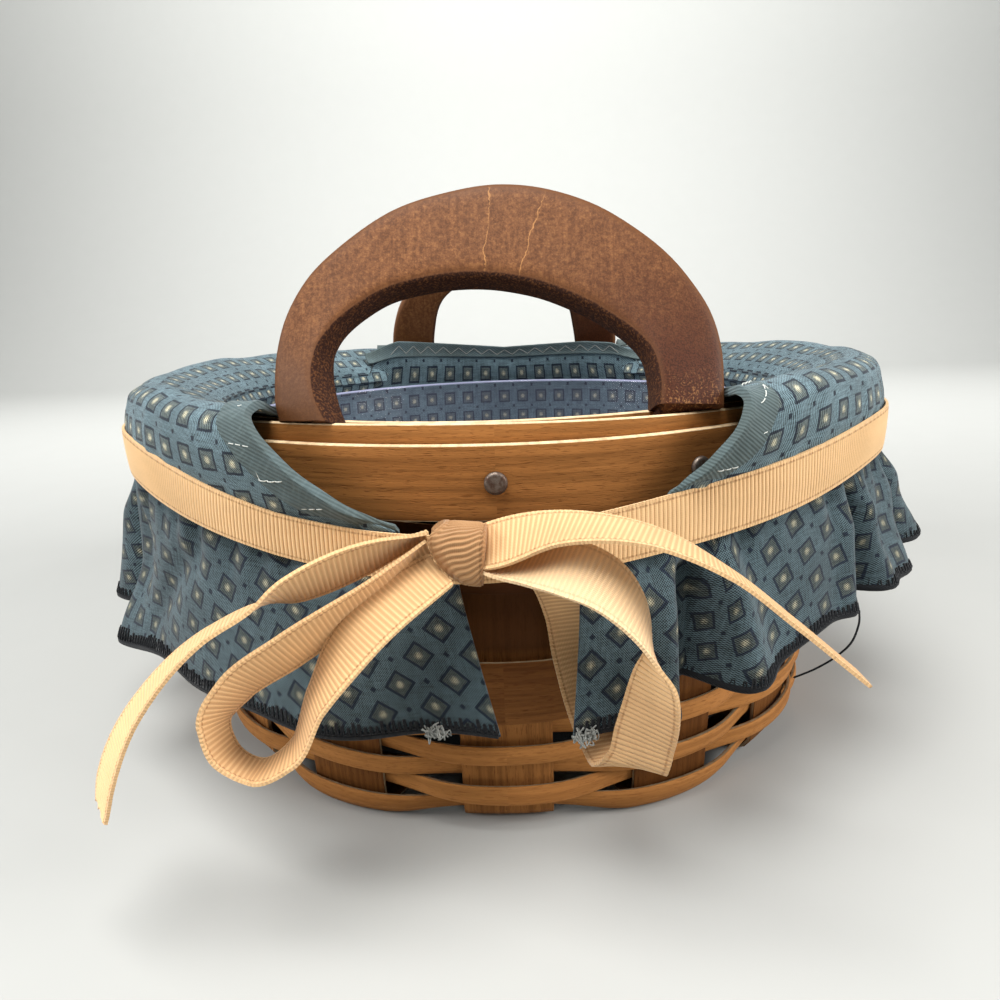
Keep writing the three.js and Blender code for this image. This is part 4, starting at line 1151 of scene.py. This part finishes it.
class BASKET_OT_handles(PieceOperator, bpy.types.Operator):
    """Leather ears whose legs are thinned and go down inside the rim"""

    bl_idname = "basket.handles"
    bl_label = "Leather handles"

    # Heights between which the leather bends, in metres
    BEND_HEIGHTS = (0.0830, 0.0895)

    def stations(self, form, outline):
        """Middle, width direction, face direction, half width and half thickness along the handle."""
        handle, wood = form.handle, form.wood
        face = np.array((0, -math.cos(handle.lean), math.sin(handle.lean)))
        up = np.array((0, math.sin(handle.lean), math.cos(handle.lean)))
        foot = np.array((0, -form.leg_plane, form.knee_height))
        rows = []

        def tab(z, side):
            turn = side * form.leg_angle
            middle = around(form.tab_outside(z) - handle.tab_thick / 2, turn, z)
            wide = np.array((math.cos(turn), math.sin(turn), 0))
            out = np.array((math.sin(turn), -math.cos(turn), 0))
            rows.append((middle, wide, out, handle.leg_width * 0.42, handle.tab_thick / 2))

        def slab(station, size=1.0):
            outer_x, outer_h, _, inner_x, inner_h, twist = station
            outer, inner = np.array((outer_x, outer_h)) * MM, np.array((inner_x, inner_h)) * MM
            middle = (outer + inner) / 2
            turn = math.radians(twist)
            half = np.linalg.norm(outer - inner) / 2 / math.cos(turn)
            ahead = np.array((outer[1] - inner[1], inner[0] - outer[0]))
            flat = np.array((ahead[1], 0, 0)) * -1 + ahead[0] * up
            wide = flat / np.linalg.norm(flat)
            bend = abs(turn)
            across = math.cos(bend) * wide - math.sin(bend) * face
            out = math.cos(bend) * face + math.sin(bend) * wide
            place = foot + np.array((middle[0], 0, 0)) + middle[1] * up
            rows.append((place, across, out, half * size, handle.thick / 2 * size))

        points = np.array([(ox, oh, 0, ix, ih, twist) for ox, oh, ix, ih, twist in outline], float)
        path = smooth_run(points, 96)
        heights = np.linspace(wood.rim_height - handle.tab_depth, wood.rim_height - 1.2 * MM, 6)
        for z in heights:
            tab(z, -1)
        slab(path[0], 0.86)
        for station in path:
            slab(station)
        slab(path[-1], 0.86)
        for z in heights[::-1]:
            tab(z, 1)
        return [np.array(column) for column in zip(*rows)]

    def make(self, form):
        for end, turn in (("front", 0.0), ("rear", math.pi)):
            middle, wide, face, half, thick = self.stations(form, HANDLES[end])
            count = len(middle)
            run = lengths(middle)[-1]
            spin = np.array(Matrix.Rotation(turn, 3, "Z"))

            def shape(u, v):
                i = nearest(u, count)
                bend = TURN * v
                power = 2 / 6
                x = np.sign(np.cos(bend)) * np.abs(np.cos(bend)) ** power
                y = np.sign(np.sin(bend)) * np.abs(np.sin(bend)) ** power
                uneven = 1 + ripple(u * 9, 3 if turn else 4, (1, 0.012), (2.7, 0.012), (5.9, 0.006))
                across = wide[i] * (x * half[i] * uneven)[:, None]
                return (middle[i] + across + face[i] * (y * thick[i])[:, None]) @ spin.T

            piece = grid(f"leather_handle_{end}", count - 1, 64, shape, (run, 50 * MM), ring=True)
            edit(lambda: bpy.ops.mesh.select_all(action="DESELECT"),
                 lambda: bpy.ops.mesh.select_non_manifold(),
                 lambda: bpy.ops.mesh.edge_face_add())
            settle(
                piece, "leather", body=None, sharp=70,
                nodes=[f"{end}_handle_arch", f"{end}_handle_tab_a", f"{end}_handle_tab_b"],
            )
            y = -form.leg_plane if end == "front" else form.leg_plane
            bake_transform(piece)


class BASKET_OT_bowl(PieceOperator, bpy.types.Operator):
    """Liner bowl inside the basket"""

    bl_idname = "basket.bowl"
    bl_label = "Liner bowl"

    def make(self, form):
        cloth = form.cloth
        foot = form.wall_radius(form.bowl_floor) - 2.9 * MM
        wall = form.inner_outside(form.rail_bottom) - form.wood.inner_thick - form.wood.fit
        bend = np.linspace(-math.pi / 2, 0, 8)
        corner = 5 * MM
        floor = form.bowl_floor + 0.4 * MM
        outline = [(r * MM, floor) for r in (0, 15, 35, 55)]
        outline += [
            (foot - corner - 0.6 * MM + corner * math.cos(a), floor + corner * (1 + math.sin(a)))
            for a in bend
        ]
        outline += [(wall - 0.6 * MM, z * MM) for z in (30, 50, 66, 74.5)]
        outline += [(cloth.neck_radius - 0.6 * MM, 78.5 * MM), (cloth.neck_radius - 0.4 * MM, form.bowl_top)]
        outline = np.array(outline)
        steps = lengths(outline)
        deep = steps[-1]
        base = steps[4]
        seam, rows = 0.4, 60

        def along(v):
            """Length from the middle of the base; the narrow row after it is the seam of base and wall."""
            return np.interp(v, (0, seam, seam + 1 / rows, 1), (0, base, base + 0.05 * MM, deep))

        def span(u, v):
            run, turn = along(v), TURN * u
            sewn = v < seam + 0.005
            x = np.where(sewn, run * np.sin(turn), 76 * MM * turn)
            return x, np.where(sewn, -run * np.cos(turn), run)

        def shape(u, v):
            turn = TURN * u
            radius = np.interp(along(v), steps, outline[:, 0])
            height = np.interp(along(v), steps, outline[:, 1])
            pleat = ripple(turn, 8, (13, 0.22 * MM), (29, 0.14 * MM)) * ease((height - 15 * MM) / (30 * MM))
            rear = np.clip(turn - math.pi, -form.lip_half, form.lip_half)
            lip_radius, lip_height = form.rear_lip(rear, 0.62)
            raised = ease((v - 0.9) / 0.1) * ease((1 - np.abs(turn - math.pi) / form.lip_half) / 0.06)
            radius = radius + raised * (lip_radius - cloth.neck_radius + 0.5 * MM)
            height = height + raised * (lip_height - form.bowl_top)
            return around(radius - np.abs(pleat) * (1 - raised), turn, height)

        piece = grid("liner_cloth_bowl", 160, rows, shape, span, ring=True)
        # The bowl's unprinted face is near black: painted shade seen through the weave
        coat(piece, "painted_shade_lining", "print_bowl")
        modify(piece, "SOLIDIFY", thickness=cloth.thick * 0.6, offset=0, use_rim=True, material_offset=1)
        settle(piece, "print_cotton", nodes=["liner_bowl"])


def collar_neck(side, rear=False):
    """Angle where a collar's end meets the ribbon."""
    degrees = 15 if rear else (11 if side < 0 else 19)
    return math.radians(degrees)


class BASKET_OT_collars(PieceOperator, bpy.types.Operator):
    """Rolled collar of the liner, one half on each side"""

    bl_idname = "basket.collars"
    bl_label = "Rolled collars"

    def make(self, form):
        cloth = form.cloth
        turns = np.linspace(0, math.pi, 61)
        for side, name in SIDES:
            runs = form.roll_runs(side, turns)

            def place(u, v):
                start = form.collar_end(v, collar_neck(side))
                stop = math.pi - form.collar_end(v, collar_neck(side, True))
                return lerp(start, stop, u)

            def shape(u, v):
                turn = place(u, v)
                puff = np.sin(math.pi * np.clip(v * 1.2, 0, 1)) ** 2
                near_tie = ease((v - 0.5) / 0.36)
                turned = turn * side
                soft = ripple(turned, 21, (5, 0.3 * MM), (9, 0.3 * MM), (16, 0.2 * MM), (27, 0.12 * MM))
                gather = ripple(turned, 22, (61, 0.14 * MM), (83, 0.12 * MM), (127, 0.07 * MM))
                return form.roll_point(v, turn, side, cloth.thick / 2 + soft * puff + gather * near_tie)

            def span(u, v):
                turn = place(u, v)
                at = np.clip(turn / math.pi * 60, 0, 59.999)
                low = at.astype(int)
                step = np.clip(v * 79, 0, 78.999)
                cell = step.astype(int)
                run = [lerp(runs[row, cell], runs[row, cell + 1], step - cell) for row in (low, low + 1)]
                return side * turn * 93 * MM, lerp(run[0], run[1], at - low)

            piece = grid(f"rolled_collar_{name}", 190, 52, shape, span)
            thicken(piece, cloth.thick, 0.12 * MM)
            settle(piece, "print_cotton", "print_collar", nodes=[f"collar_{name}"])
            surface(shape)


class BASKET_OT_facings(PieceOperator, bpy.types.Operator):
    """Twill facings along the collar's ends and behind the rear handle, with their stitches"""

    bl_idname = "basket.facings"
    bl_label = "Facings"

    def facing(self, form, side, rear, name):
        """Facing along one end of a collar."""
        cloth = form.cloth
        neck = collar_neck(side, rear)
        first, last = (0.36, 0.95) if rear else (0.10, 0.95)
        edge_w = np.linspace(first, last, 200)
        edge_turn = form.collar_end(edge_w, neck)
        w = np.linspace(0, 1, 80)
        run = form.roll_runs(side, [math.radians(152 if rear else 25)])[0]
        flat = np.stack((edge_turn * form.roll_outside, np.interp(edge_w, w, run)), axis=-1)
        steps = lengths(flat)
        ahead = unit(np.gradient(flat, axis=0))

        def place(u, v, lift):
            at = u * steps[-1]
            x, y, ax, ay = (np.interp(at, steps, values) for values in (*flat.T, *ahead.T))
            reach = (v * cloth.facing_width - 0.5 * MM) / np.hypot(ax, ay)
            turn = (x + ay * reach) / form.roll_outside
            at = np.interp(y - ax * reach, run, w)
            under = ease((at - 0.80) / 0.06)
            return form.roll_point(at, math.pi - turn if rear else turn, side, lerp(lift, 0.1 * MM, under))

        def shape(u, v):
            soft = ripple(u * 14, 40 + side + 2 * rear, (1, 0.15 * MM), (2.6, 0.12 * MM))
            fold = 0.35 * MM * np.exp(-(((v - 0.06) / 0.10) ** 2))
            tuck = -1.3 * MM * np.clip(0.06 - v, 0, 1) / 0.06
            return place(u, v, cloth.thick * 1.5 + 0.1 * MM + soft + fold + tuck)

        piece = grid(f"twill_facing_{name}", 110, 18, shape, (steps[-1], cloth.facing_width))
        thicken(piece, cloth.thick, 0.15 * MM)
        settle(piece, "twill", nodes=[f"facing_{name}"])
        skin = cloth.thick * 2 + 0.1 * MM
        stitches = self.stitches(f"facing_stitches_{name}", place, (0.28, 0.82), (0.34, 0.92), 4, skin)
        tall = max(STRIP_FLAT, surface(shape) / steps[-1])

    def stitches(self, name, place, along, across, legs, skin):
        """One thread that shows as short stitches across the strip and runs under the cloth between them."""
        t = np.linspace(0, legs, legs * 60)
        step, leg = np.floor(t), t % 1
        over = np.clip(leg / 0.6, 0, 1)
        back = np.clip((leg - 0.6) / 0.4, 0, 1)
        u = lerp(along[0], along[1], (step + 0.5 * over + 0.5 * ease(back)) / legs)
        v = lerp(across[1], across[0], over - ease(back))
        dash = np.where(leg < 0.6, np.minimum(np.abs(np.sin(3 * math.pi * over)) * 1.6 - 0.75, 0.3), -0.9)
        thread = tube(name, place(u, v, skin + 0.36 * MM * dash), 0.10 * MM, 6)
        return settle(thread, "twill", "pale_thread")

    def inner(self, form):
        """Facing inside the raised edge at the rear handle."""
        cloth = form.cloth
        half, low = form.lip_half, 0.52

        def place(u, v, lift):
            turn = lerp(-half, half, u)
            up = lerp(low, 1, v)
            radius, height = form.rear_lip(turn, up)
            soft = ripple(u * 12, 50, (1, 0.25 * MM), (2.3, 0.2 * MM)) * up
            return around(radius + lift + soft, math.pi + turn, height)

        def shape(u, v):
            fold = 0.35 * MM * np.exp(-(((1 - v) / 0.3) ** 2)) + 0.3 * MM * np.exp(-((v / 0.2) ** 2))
            return place(u, v, -0.5 * MM - fold)

        run = 2 * half * cloth.neck_radius
        piece = grid("twill_facing_rear_inner", 110, 10, shape, (run, 5 * MM))
        thicken(piece, cloth.thick, 0.15 * MM)
        settle(piece, "twill", nodes=["facing_rear_inner"])
        legs, radius = 30, 0.12 * MM
        t = np.linspace(0, legs, legs * 12 + 1)
        zigzag = 1 - np.abs(t % 2 - 1)
        skin = -0.5 * MM - cloth.thick / 2 - radius
        path = place(lerp(0.07, 0.93, t / legs), lerp(0.22, 0.72, zigzag), skin)
        thread = settle(tube("facing_stitches_rear_inner", path, radius, 6), "twill", "fray")
        surface(shape)

    def make(self, form):
        for side, name in SIDES:
            self.facing(form, side, False, f"front_{name}")
            self.facing(form, side, True, f"rear_{name}")
        self.inner(form)


class BASKET_OT_skirts(PieceOperator, bpy.types.Operator):
    """Gathered skirt below the ribbon, one half on each side, with its overlocked hem"""

    bl_idname = "basket.skirts"
    bl_label = "Skirts"

    # Angle from the front, half width and depth of each fold in degrees and mm
    FOLDS = {
        -1: (
            (67, 3.0, 8.5), (87, 3.6, 8.0), (104, 3.0, 7.0),
            (126, 3.8, 8.0), (146, 3.2, 7.5), (166, 3.0, 6.0),
        ),
        1: (
            (21.3, 2.5, 12.5), (47.5, 2.0, 10.5), (66, 3.2, 8.0), (88, 3.0, 7.5),
            (110, 4.0, 8.5), (131, 3.0, 7.0), (152, 3.4, 7.5), (168, 2.8, 5.5),
        ),
    }

    # Angle from the front, half width, then the push outwards at mid height and at the hem in degrees and mm
    WINGS = {
        -1: ((59, 7, -3.0, 3.4), (77, 6, 4.0, 4.5)),
        1: ((56, 6, 0.5, 4.0), (75, 7, 2.5, 6.0)),
    }

    # Angle from the front of each half's edge, at the ribbon and at the hem, in degrees
    SLITS = {-1: (4.6, 0.2), 1: (9.0, 6.9)}

    # Part of the hem where its corner is frayed, as shares of its run
    FRAYED = {-1: (0.031, 0.043), 1: (0.001, 0.013)}

    # Loose end of the right hem's thread in mm
    LOOSE_END = (
        (72.4, -69, 40.5), (73.3, -67.4, 36.5), (72.2, -67.6, 33),
        (70.1, -66.4, 29.3), (65.7, -65.8, 25.9), (61.5, -65, 23.5),
    )

    # Flat height of each half in metres, and shares of it that are under the ribbon and that measure its run
    FLAT_HEIGHT = {-1: 0.040, 1: 0.034}
    UNDER_RIBBON = 0.12
    MEASURED_AT = 0.75

    def drop(self, form, side, turn):
        """Length of the skirt below the middle of the ribbon."""
        long = form.cloth.skirt_left if side < 0 else form.cloth.skirt_right
        return lerp(form.cloth.skirt_front, long, form.tie_share(turn))

    def folds(self, side, turn, fall):
        """How far the folds and wings bring the cloth out from its flare."""
        degrees = np.degrees(turn)
        fold = 0 * turn
        for middle, wide, deep in self.FOLDS[side]:
            near = np.abs(degrees - middle) / (wide * (0.7 + 0.45 * fall))
            crest = np.exp(-(((near - 2.0) / 0.9) ** 2))
            fold = fold - deep * MM * np.exp(-near ** 3) + 0.26 * deep * MM * crest
        if side < 0:
            near = (degrees - lerp(33, 54, fall ** 0.8)) / 3.2
            fold = fold - 2.2 * MM * np.exp(-near * near) * np.sin(math.pi * fall) ** 0.6
        for middle, wide, waist, hem in self.WINGS[side]:
            near = (degrees - middle) / wide
            fold = fold + lerp(waist, hem, ease((fall - 0.5) / 0.5)) * MM * np.exp(-near * near)
        return fold

    def points(self, form, side, u, v, lift):
        """Points of the cloth: u along the hem from the front, v down from the middle of the ribbon."""
        fall = np.clip((v - self.UNDER_RIBBON) / (1 - self.UNDER_RIBBON), 0, 1)
        slit_top, slit_hem = self.SLITS[side]
        start = np.radians(lerp(slit_top, slit_hem, fall))
        turn = lerp(start, math.pi - math.radians(3), u)
        turned = turn * side
        top = form.tie_height(turn)
        edge = top - form.ribbon.width / 2
        hem = top - self.drop(form, side, turn) + ripple(turned, 71, (9, 0.8 * MM), (17, 0.6 * MM))
        hidden = v < self.UNDER_RIBBON
        z = np.where(hidden, lerp(top, edge, v / self.UNDER_RIBBON), lerp(edge, hem, fall))
        flare = lerp(form.tie_radius(turn), form.wood.rim_radius + form.cloth.hem_out, fall ** 0.7)
        soft = ripple(turned, 72, (7, 0.7 * MM), (12, 0.55 * MM), (19, 0.4 * MM)) * fall ** 0.75
        pinch = ripple(turned, 73, (53, 0.45 * MM), (71, 0.4 * MM), (97, 0.3 * MM))
        pinch = pinch * np.exp(-((fall / 0.26) ** 2)) * ease(fall / 0.05)
        out = self.folds(side, turn, fall) * ease(fall / 0.38) + soft + pinch + lift
        points = around(np.maximum(flare + out, form.wood.rim_radius + 1.2 * MM), turn, z)
        points[:, 0] *= side
        return points

    def hem(self, form, side, name, place):
        """Bead along the hem, and the comb of its overlock stitches."""
        bead = tube(f"hem_bead_{name}", place(np.linspace(0, 1, 900), np.full(900, 0.99)), 0.8 * MM, 8)
        settle(bead, "print_cotton", "dark_thread")
        teeth = 300
        tooth, corner = np.divmod(np.arange(teeth * 4), 4)
        comb = np.array((0.0, 1.0, 1.0, 0.0))[corner]
        uneven = np.random.default_rng(74 + side).uniform(0.65, 1.25, teeth)[tooth]
        along = np.clip((tooth + np.array((0.0, 0.1, 0.3, 0.4))[corner]) / teeth, 0, 1)
        skin = form.cloth.thick / 2 + 0.16 * MM + (1 - comb) * 0.25 * MM
        thread = tube(f"hem_stitches_{name}", place(along, 0.975 - comb * 0.052 * uneven, skin), 0.19 * MM, 5)
        return bead, settle(thread, "print_cotton", "dark_thread")

    def fray(self, side, name, place):
        """Tangle of loose yarn at the corner of the hem."""
        rng = np.random.default_rng(90 + side)
        turns = 120
        tangle = place(np.linspace(*self.FRAYED[side], turns), rng.uniform(0.96, 1.02, turns))
        tangle = tangle + rng.normal(0, 0.6 * MM, (turns, 3)) + np.array((0, -0.9, -0.3)) * MM
        yarn = tube(f"frayed_corner_{name}", smooth_run(tangle, 800), 0.12 * MM, 5)
        return settle(yarn, "print_cotton", "fray")

    def make(self, form):
        for side, name in SIDES:
            def place(u, v, lift=0.0):
                return self.points(form, side, u, v, lift)

            shares = np.linspace(0, 1, 1200)
            runs = lengths(place(shares, np.full(1200, self.MEASURED_AT)))
            cut_radius = runs[-1] / (0.8 * math.pi)

            def span(u, v):
                """Coordinates on cloth that is cut round, so that its print turns along the hem."""
                swing = math.pi / 4 + np.interp(u, shares, runs) / cut_radius
                drop = self.drop(form, side, lerp(0.1, math.pi, u))
                reach = cut_radius + (v - self.MEASURED_AT) * drop * 1.05
                return side * reach * np.sin(swing), -reach * np.cos(swing)

            piece = grid(f"gathered_skirt_{name}", 560, 46, place, span)
            thicken(piece, form.cloth.thick, 0.12 * MM)
            settle(piece, "print_cotton", "print_skirt", nodes=[f"skirt_{name}"])
            extras = [*self.hem(form, side, name, place), self.fray(side, name, place)]
            if side > 0:
                path = smooth_run(np.array(self.LOOSE_END) * MM, 90)
                loose = tube("loose_hem_thread", path, 0.22 * MM, 6)
                extras.append(settle(loose, "print_cotton", "dark_thread"))


class BASKET_OT_ribbon(PieceOperator, bpy.types.Operator):
    """Ribbon tied round the liner"""

    bl_idname = "basket.ribbon"
    bl_label = "Ribbon"

    def make(self, form):
        ribbon = form.ribbon
        run = TURN * form.ribbon_radius(math.pi / 2)
        ribs = round(run / ribbon.rib)

        def shape(u, v):
            turn = TURN * u
            rib = rib_relief(u, v, ribs)
            soft = ripple(turn, 81, (4, 0.2 * MM), (11, 0.18 * MM)) + 0.15 * MM * np.cos(math.pi * (v - 0.5))
            sway = ripple(turn, 82, (5, 0.25 * MM), (9, 0.2 * MM))
            slope = (v - 0.5) * ripple(turn, 83, (6, 0.5 * MM))
            dip = form.ribbon_dip(turn)
            z = form.tie_height(turn) + (v - 0.5) * ribbon.width + sway - lerp(0.3, 1.0, v) * dip
            return around(form.ribbon_radius(turn) + rib + soft + slope, turn, z)

        piece = grid("ribbon_round", ribs * 4, 10, shape, (ribs * ribbon.rib, ribbon.width), ring=True)
        thicken(piece, ribbon.thick)
        settle(piece, "grosgrain", nodes=["ribbon_band"])


class BASKET_OT_bow(PieceOperator, bpy.types.Operator):
    """Bow at the front: knot, two loops and two tails"""

    bl_idname = "basket.bow"
    bl_label = "Bow"

    def make(self, form):
        ribbon = form.ribbon
        turn = np.float64(ribbon.knot_angle)
        radius = form.ribbon_radius(turn) + ribbon.thick / 2 + 0.15 * MM + ribbon.knot_depth / 2
        centre = around(radius, turn, form.tie_height(turn))
        self.knot(form, centre)
        for name, stations in BOW.items():
            self.strip(form, name, centre, np.array(stations))

    def knot(self, form, centre):
        """Ribbon wrapped round the middle: its left edge slants, and its ribs climb to the right."""
        ribbon = form.ribbon
        run = math.pi * (ribbon.knot_height + ribbon.knot_depth) / 2
        ribs = round(run / ribbon.rib)
        lean, twist, rows = 0.10, 0.34, 44
        shift = np.array((0.4, 0, 1.3)) * MM
        tuck = np.array((-0.3 * ribbon.knot_width, 0.1 * ribbon.knot_depth, 0.1 * ribbon.knot_height))

        def shape(u, v):
            cap = np.minimum(v * rows, 1)
            reach = np.clip((v * rows - 1) / (rows - 1), 0, 1)
            side = 2 * reach - 1
            turn = TURN * u + twist * side - 0.04 * np.sin(5 * side)
            boxy = (np.abs(np.cos(turn)) ** 3 + np.abs(np.sin(turn)) ** 3) ** (-1 / 3)
            high = np.sin(turn) * boxy
            cut_above = 0.5 * np.clip((high - 0.55) / 0.45, 0, 1) ** 1.5
            cut_below = 1.35 * np.clip((0.45 - high) / 1.45, 0, 1) ** 1.8
            close = np.maximum(1 - np.maximum(side, 0) ** 10, 0) ** 0.25
            selvedge = np.maximum(ease((side - 0.80) / 0.04), ease((0.12 - reach) / 0.03))
            rib = 1 + 0.020 * np.cos(ribs * TURN * u) * (1 - selvedge)
            step = 1 + 0.05 * selvedge - 0.05 * np.exp(-(((side - 0.78) / 0.04) ** 2))
            x = lerp(cut_above + cut_below - 1, 1, reach) * ribbon.knot_width / 2
            y = -np.cos(turn) * boxy * ribbon.knot_depth / 2 * lerp(0.6, 1, ease((side + 1) / 0.6))
            z = high * ribbon.knot_height / 2
            size = close * rib * step
            points = lerp(tuck, np.stack((x, y * size, z * size), -1), cap[:, None])
            x, y, z = points.T
            x, z = x * math.cos(lean) + z * math.sin(lean), z * math.cos(lean) - x * math.sin(lean)
            return np.stack((x, y, z), -1) + centre + shift

        span = (ribs * ribbon.rib, ribbon.knot_width)
        # The knot's tone below 0 is painted shade
        piece = grid("bow_wrap_knot", ribs * 6, rows, shape, span, ring=True, tone=-0.68)
        settle(piece, "grosgrain", nodes=["bow_knot"], sharp=80)

    def strip(self, form, name, centre, stations):
        """Loop or tail of ribbon along its stations."""
        ribbon = form.ribbon
        stations = stations * np.array((MM, MM, MM, 1, 1, 1, MM))
        run = lengths(stations[:, :3])[-1]
        ribs = round(run / ribbon.rib)
        count = ribs * 6 + 1
        path = smooth_run(stations, count)
        ahead = unit(np.gradient(path[:, :3], axis=0))
        wide = unit(path[:, 3:6] - ahead * (path[:, 3:6] * ahead).sum(1, keepdims=True) * 0.6)
        face = unit(np.cross(wide, ahead))

        def shape(u, v):
            i = nearest(u, count)
            rib = rib_relief(u, v, ribs)
            pinch = 1 - path[i, 6] / ribbon.width
            curl = 1.6 * MM * pinch * (1 - (2 * v - 1) ** 2)
            fray = ripple(v * 40, 95, (1, 0.25 * MM), (2.7, 0.2 * MM)) * (u > 0.999)
            points = path[i, :3] + wide[i] * ((v - 0.5) * path[i, 6])[:, None]
            return centre + points + face[i] * (rib + curl)[:, None] + ahead[i] * fray[:, None]

        # Tone of each station: painted light and shade on the loop that turns over
        def tone(u, v):
            return np.interp(u, STRAND_SHARES, STRAND_LIGHT_AND_SHADE.get(name, (0, 0, 0, 0)))

        piece = grid(f"{name}_ribbon", count - 1, 10, shape, (ribs * ribbon.rib, ribbon.width), tone=tone)
        thicken(piece, ribbon.thick)
        settle(piece, "grosgrain", nodes=[name])


class BASKET_OT_insert(PieceOperator, bpy.types.Operator):
    """Clear insert standing in the liner"""

    bl_idname = "basket.insert"
    bl_label = "Clear insert"

    def make(self, form):
        wall = form.cloth.insert_wall
        floor = form.bowl_floor + 1.1 * MM
        outer = 73.2 * MM
        top = form.wood.rim_height - 6.2 * MM
        bead = wall * 0.75
        bend = np.linspace(-math.pi / 2, 0, 9)

        def bowl(inset, lift, corner):
            points = [(0.0, floor + lift), (0.5 * outer, floor + lift)]
            middle = outer - inset - corner
            points += [
                (middle + corner * math.cos(a), floor + lift + corner * (1 + math.sin(a))) for a in bend
            ]
            return points

        lip = [
            (outer - wall / 2 + bead * math.cos(a), top - bead + bead * math.sin(a))
            for a in np.linspace(-0.6, math.pi + 0.6, 12)
        ]
        outline = np.array(bowl(0, 0, 6 * MM) + lip + bowl(wall, wall, 5 * MM)[::-1])
        count = len(outline)

        def shape(u, v):
            i = nearest(v, count)
            return around(outline[i, 0], TURN * u, outline[i, 1])

        piece = grid("clear_plastic_insert", 128, count - 1, shape, (0.46, 0.3), ring=True)
        settle(piece, "clear_plastic", nodes=["clear_insert"], sharp=40)


class BASKET_OT_stage(PieceOperator, bpy.types.Operator):
    """Pale floor and backdrop, soft studio lights and the camera"""

    bl_idname = "basket.stage"
    bl_label = "Stage"

    # Name, place, size, power, tint and aim of each light, in metres and watts
    LIGHTS = (
        ("key_light", (-0.16, -0.32, 1.10), 0.7, 17, (1, 0.99, 0.97), (0, 0, 0.06)),
        ("right_light", (0.86, -0.32, 0.50), 0.5, 9.5, (1, 0.99, 0.98), (0, 0, 0.06)),
        ("left_light", (-0.85, -0.26, 0.50), 0.5, 6.2, (0.98, 0.99, 1), (0, 0, 0.06)),
        ("backdrop_light", (0.0, 0.55, 1.20), 1.6, 36, (1, 1, 0.99), (0, 1.8, 0.75)),
    )

    # Camera at the photo's view: place in metres, lens in mm, then its turns in radians
    CAMERA_PLACE = (0.00399, -0.21181, 0.10146)
    CAMERA_LENS = 26.81
    CAMERA_YAW = 0.027
    CAMERA_PITCH = math.radians(90 - 14.04)
    CAMERA_ROLL = -0.036

    def make(self, form):
        self.floor()
        for light in self.LIGHTS:
            self.light(*light)
        self.sky()
        self.camera()

    def floor(self):
        """Floor that bends up into a backdrop behind the basket."""
        width, run_length, in_front = 6, 4.2, 1.6
        bend_start, bend_run, bend_end, bend_radius = 1.0, 0.9, 1.9, 0.573

        def shape(u, v):
            run = v * run_length - in_front
            bend = np.clip((run - bend_start) / bend_run, 0, 1) * math.pi / 2
            level = run < bend_start
            y = np.where(level, run, bend_start + bend_radius * np.sin(bend))
            z = np.where(level, 0, bend_radius * (1 - np.cos(bend))) + np.maximum(run - bend_end, 0)
            return np.stack(((u - 0.5) * width, y, z), -1)

        floor = grid("pale_sweep", 12, 84, shape, (width, run_length))
        bpy.ops.object.shade_smooth()
        coat(floor, "floor")

    def light(self, name, place, size, power, tint, aim):
        bpy.ops.object.light_add(type="AREA", location=place)
        lamp = bpy.context.active_object
        lamp.name = name
        lamp.data.size = size
        lamp.data.energy = power
        lamp.data.color = tint
        lamp.rotation_euler = (Vector(aim) - Vector(place)).to_track_quat("-Z", "Y").to_euler()

    def sky(self):
        world = bpy.data.worlds.new("studio")
        world.use_nodes = True
        background = world.node_tree.nodes["Background"]
        background.inputs["Color"].default_value = (0.95, 0.98, 1, 1)
        background.inputs["Strength"].default_value = 0.20
        bpy.context.scene.world = world
        bpy.context.scene.view_settings.view_transform = "Standard"

    def camera(self):
        bpy.ops.object.camera_add(location=self.CAMERA_PLACE)
        camera = bpy.context.active_object
        camera.name = "photo_camera"
        camera.data.sensor_width = 36
        camera.data.lens = self.CAMERA_LENS
        camera.data.clip_start = 0.01
        turns = ((self.CAMERA_YAW, "Z"), (self.CAMERA_PITCH, "X"), (self.CAMERA_ROLL, "Z"))
        yaw, pitch, roll = (Matrix.Rotation(turn, 3, axis) for turn, axis in turns)
        camera.rotation_euler = (yaw @ pitch @ roll).to_euler()
        bpy.context.scene.camera = camera


PIECES = (
    BASKET_OT_splints,
    BASKET_OT_weavers,
    BASKET_OT_rim,
    BASKET_OT_tacks,
    BASKET_OT_handles,
    BASKET_OT_bowl,
    BASKET_OT_collars,
    BASKET_OT_facings,
    BASKET_OT_skirts,
    BASKET_OT_ribbon,
    BASKET_OT_bow,
    BASKET_OT_insert,
    BASKET_OT_stage,
)


class BASKET_PT_pieces(bpy.types.Panel):
    """Lists the steps that make the basket"""

    bl_label = "Button basket"
    bl_space_type = "VIEW_3D"
    bl_region_type = "UI"
    bl_category = "Basket"

    def draw(self, context):
        for piece in PIECES:
            self.layout.operator(piece.bl_idname)


GROUPS = {
    "basket_wood": WoodSizes,
    "basket_handle": HandleSizes,
    "basket_cloth": ClothSizes,
    "basket_ribbon": RibbonSizes,
    "basket_colours": Colours,
}


def register():
    for name, group in GROUPS.items():
        bpy.utils.register_class(group)
        setattr(bpy.types.Scene, name, bpy.props.PointerProperty(type=group))
    for item in (*PIECES, BASKET_PT_pieces):
        bpy.utils.register_class(item)


def unregister():
    for item in (BASKET_PT_pieces, *reversed(PIECES)):
        bpy.utils.unregister_class(item)
    for name, group in reversed(GROUPS.items()):
        delattr(bpy.types.Scene, name)
        bpy.utils.unregister_class(group)


def main():
    register()
    for piece in PIECES:
        getattr(bpy.ops.basket, piece.bl_idname.split(".")[1])()


if __name__ == "__main__":
    main()
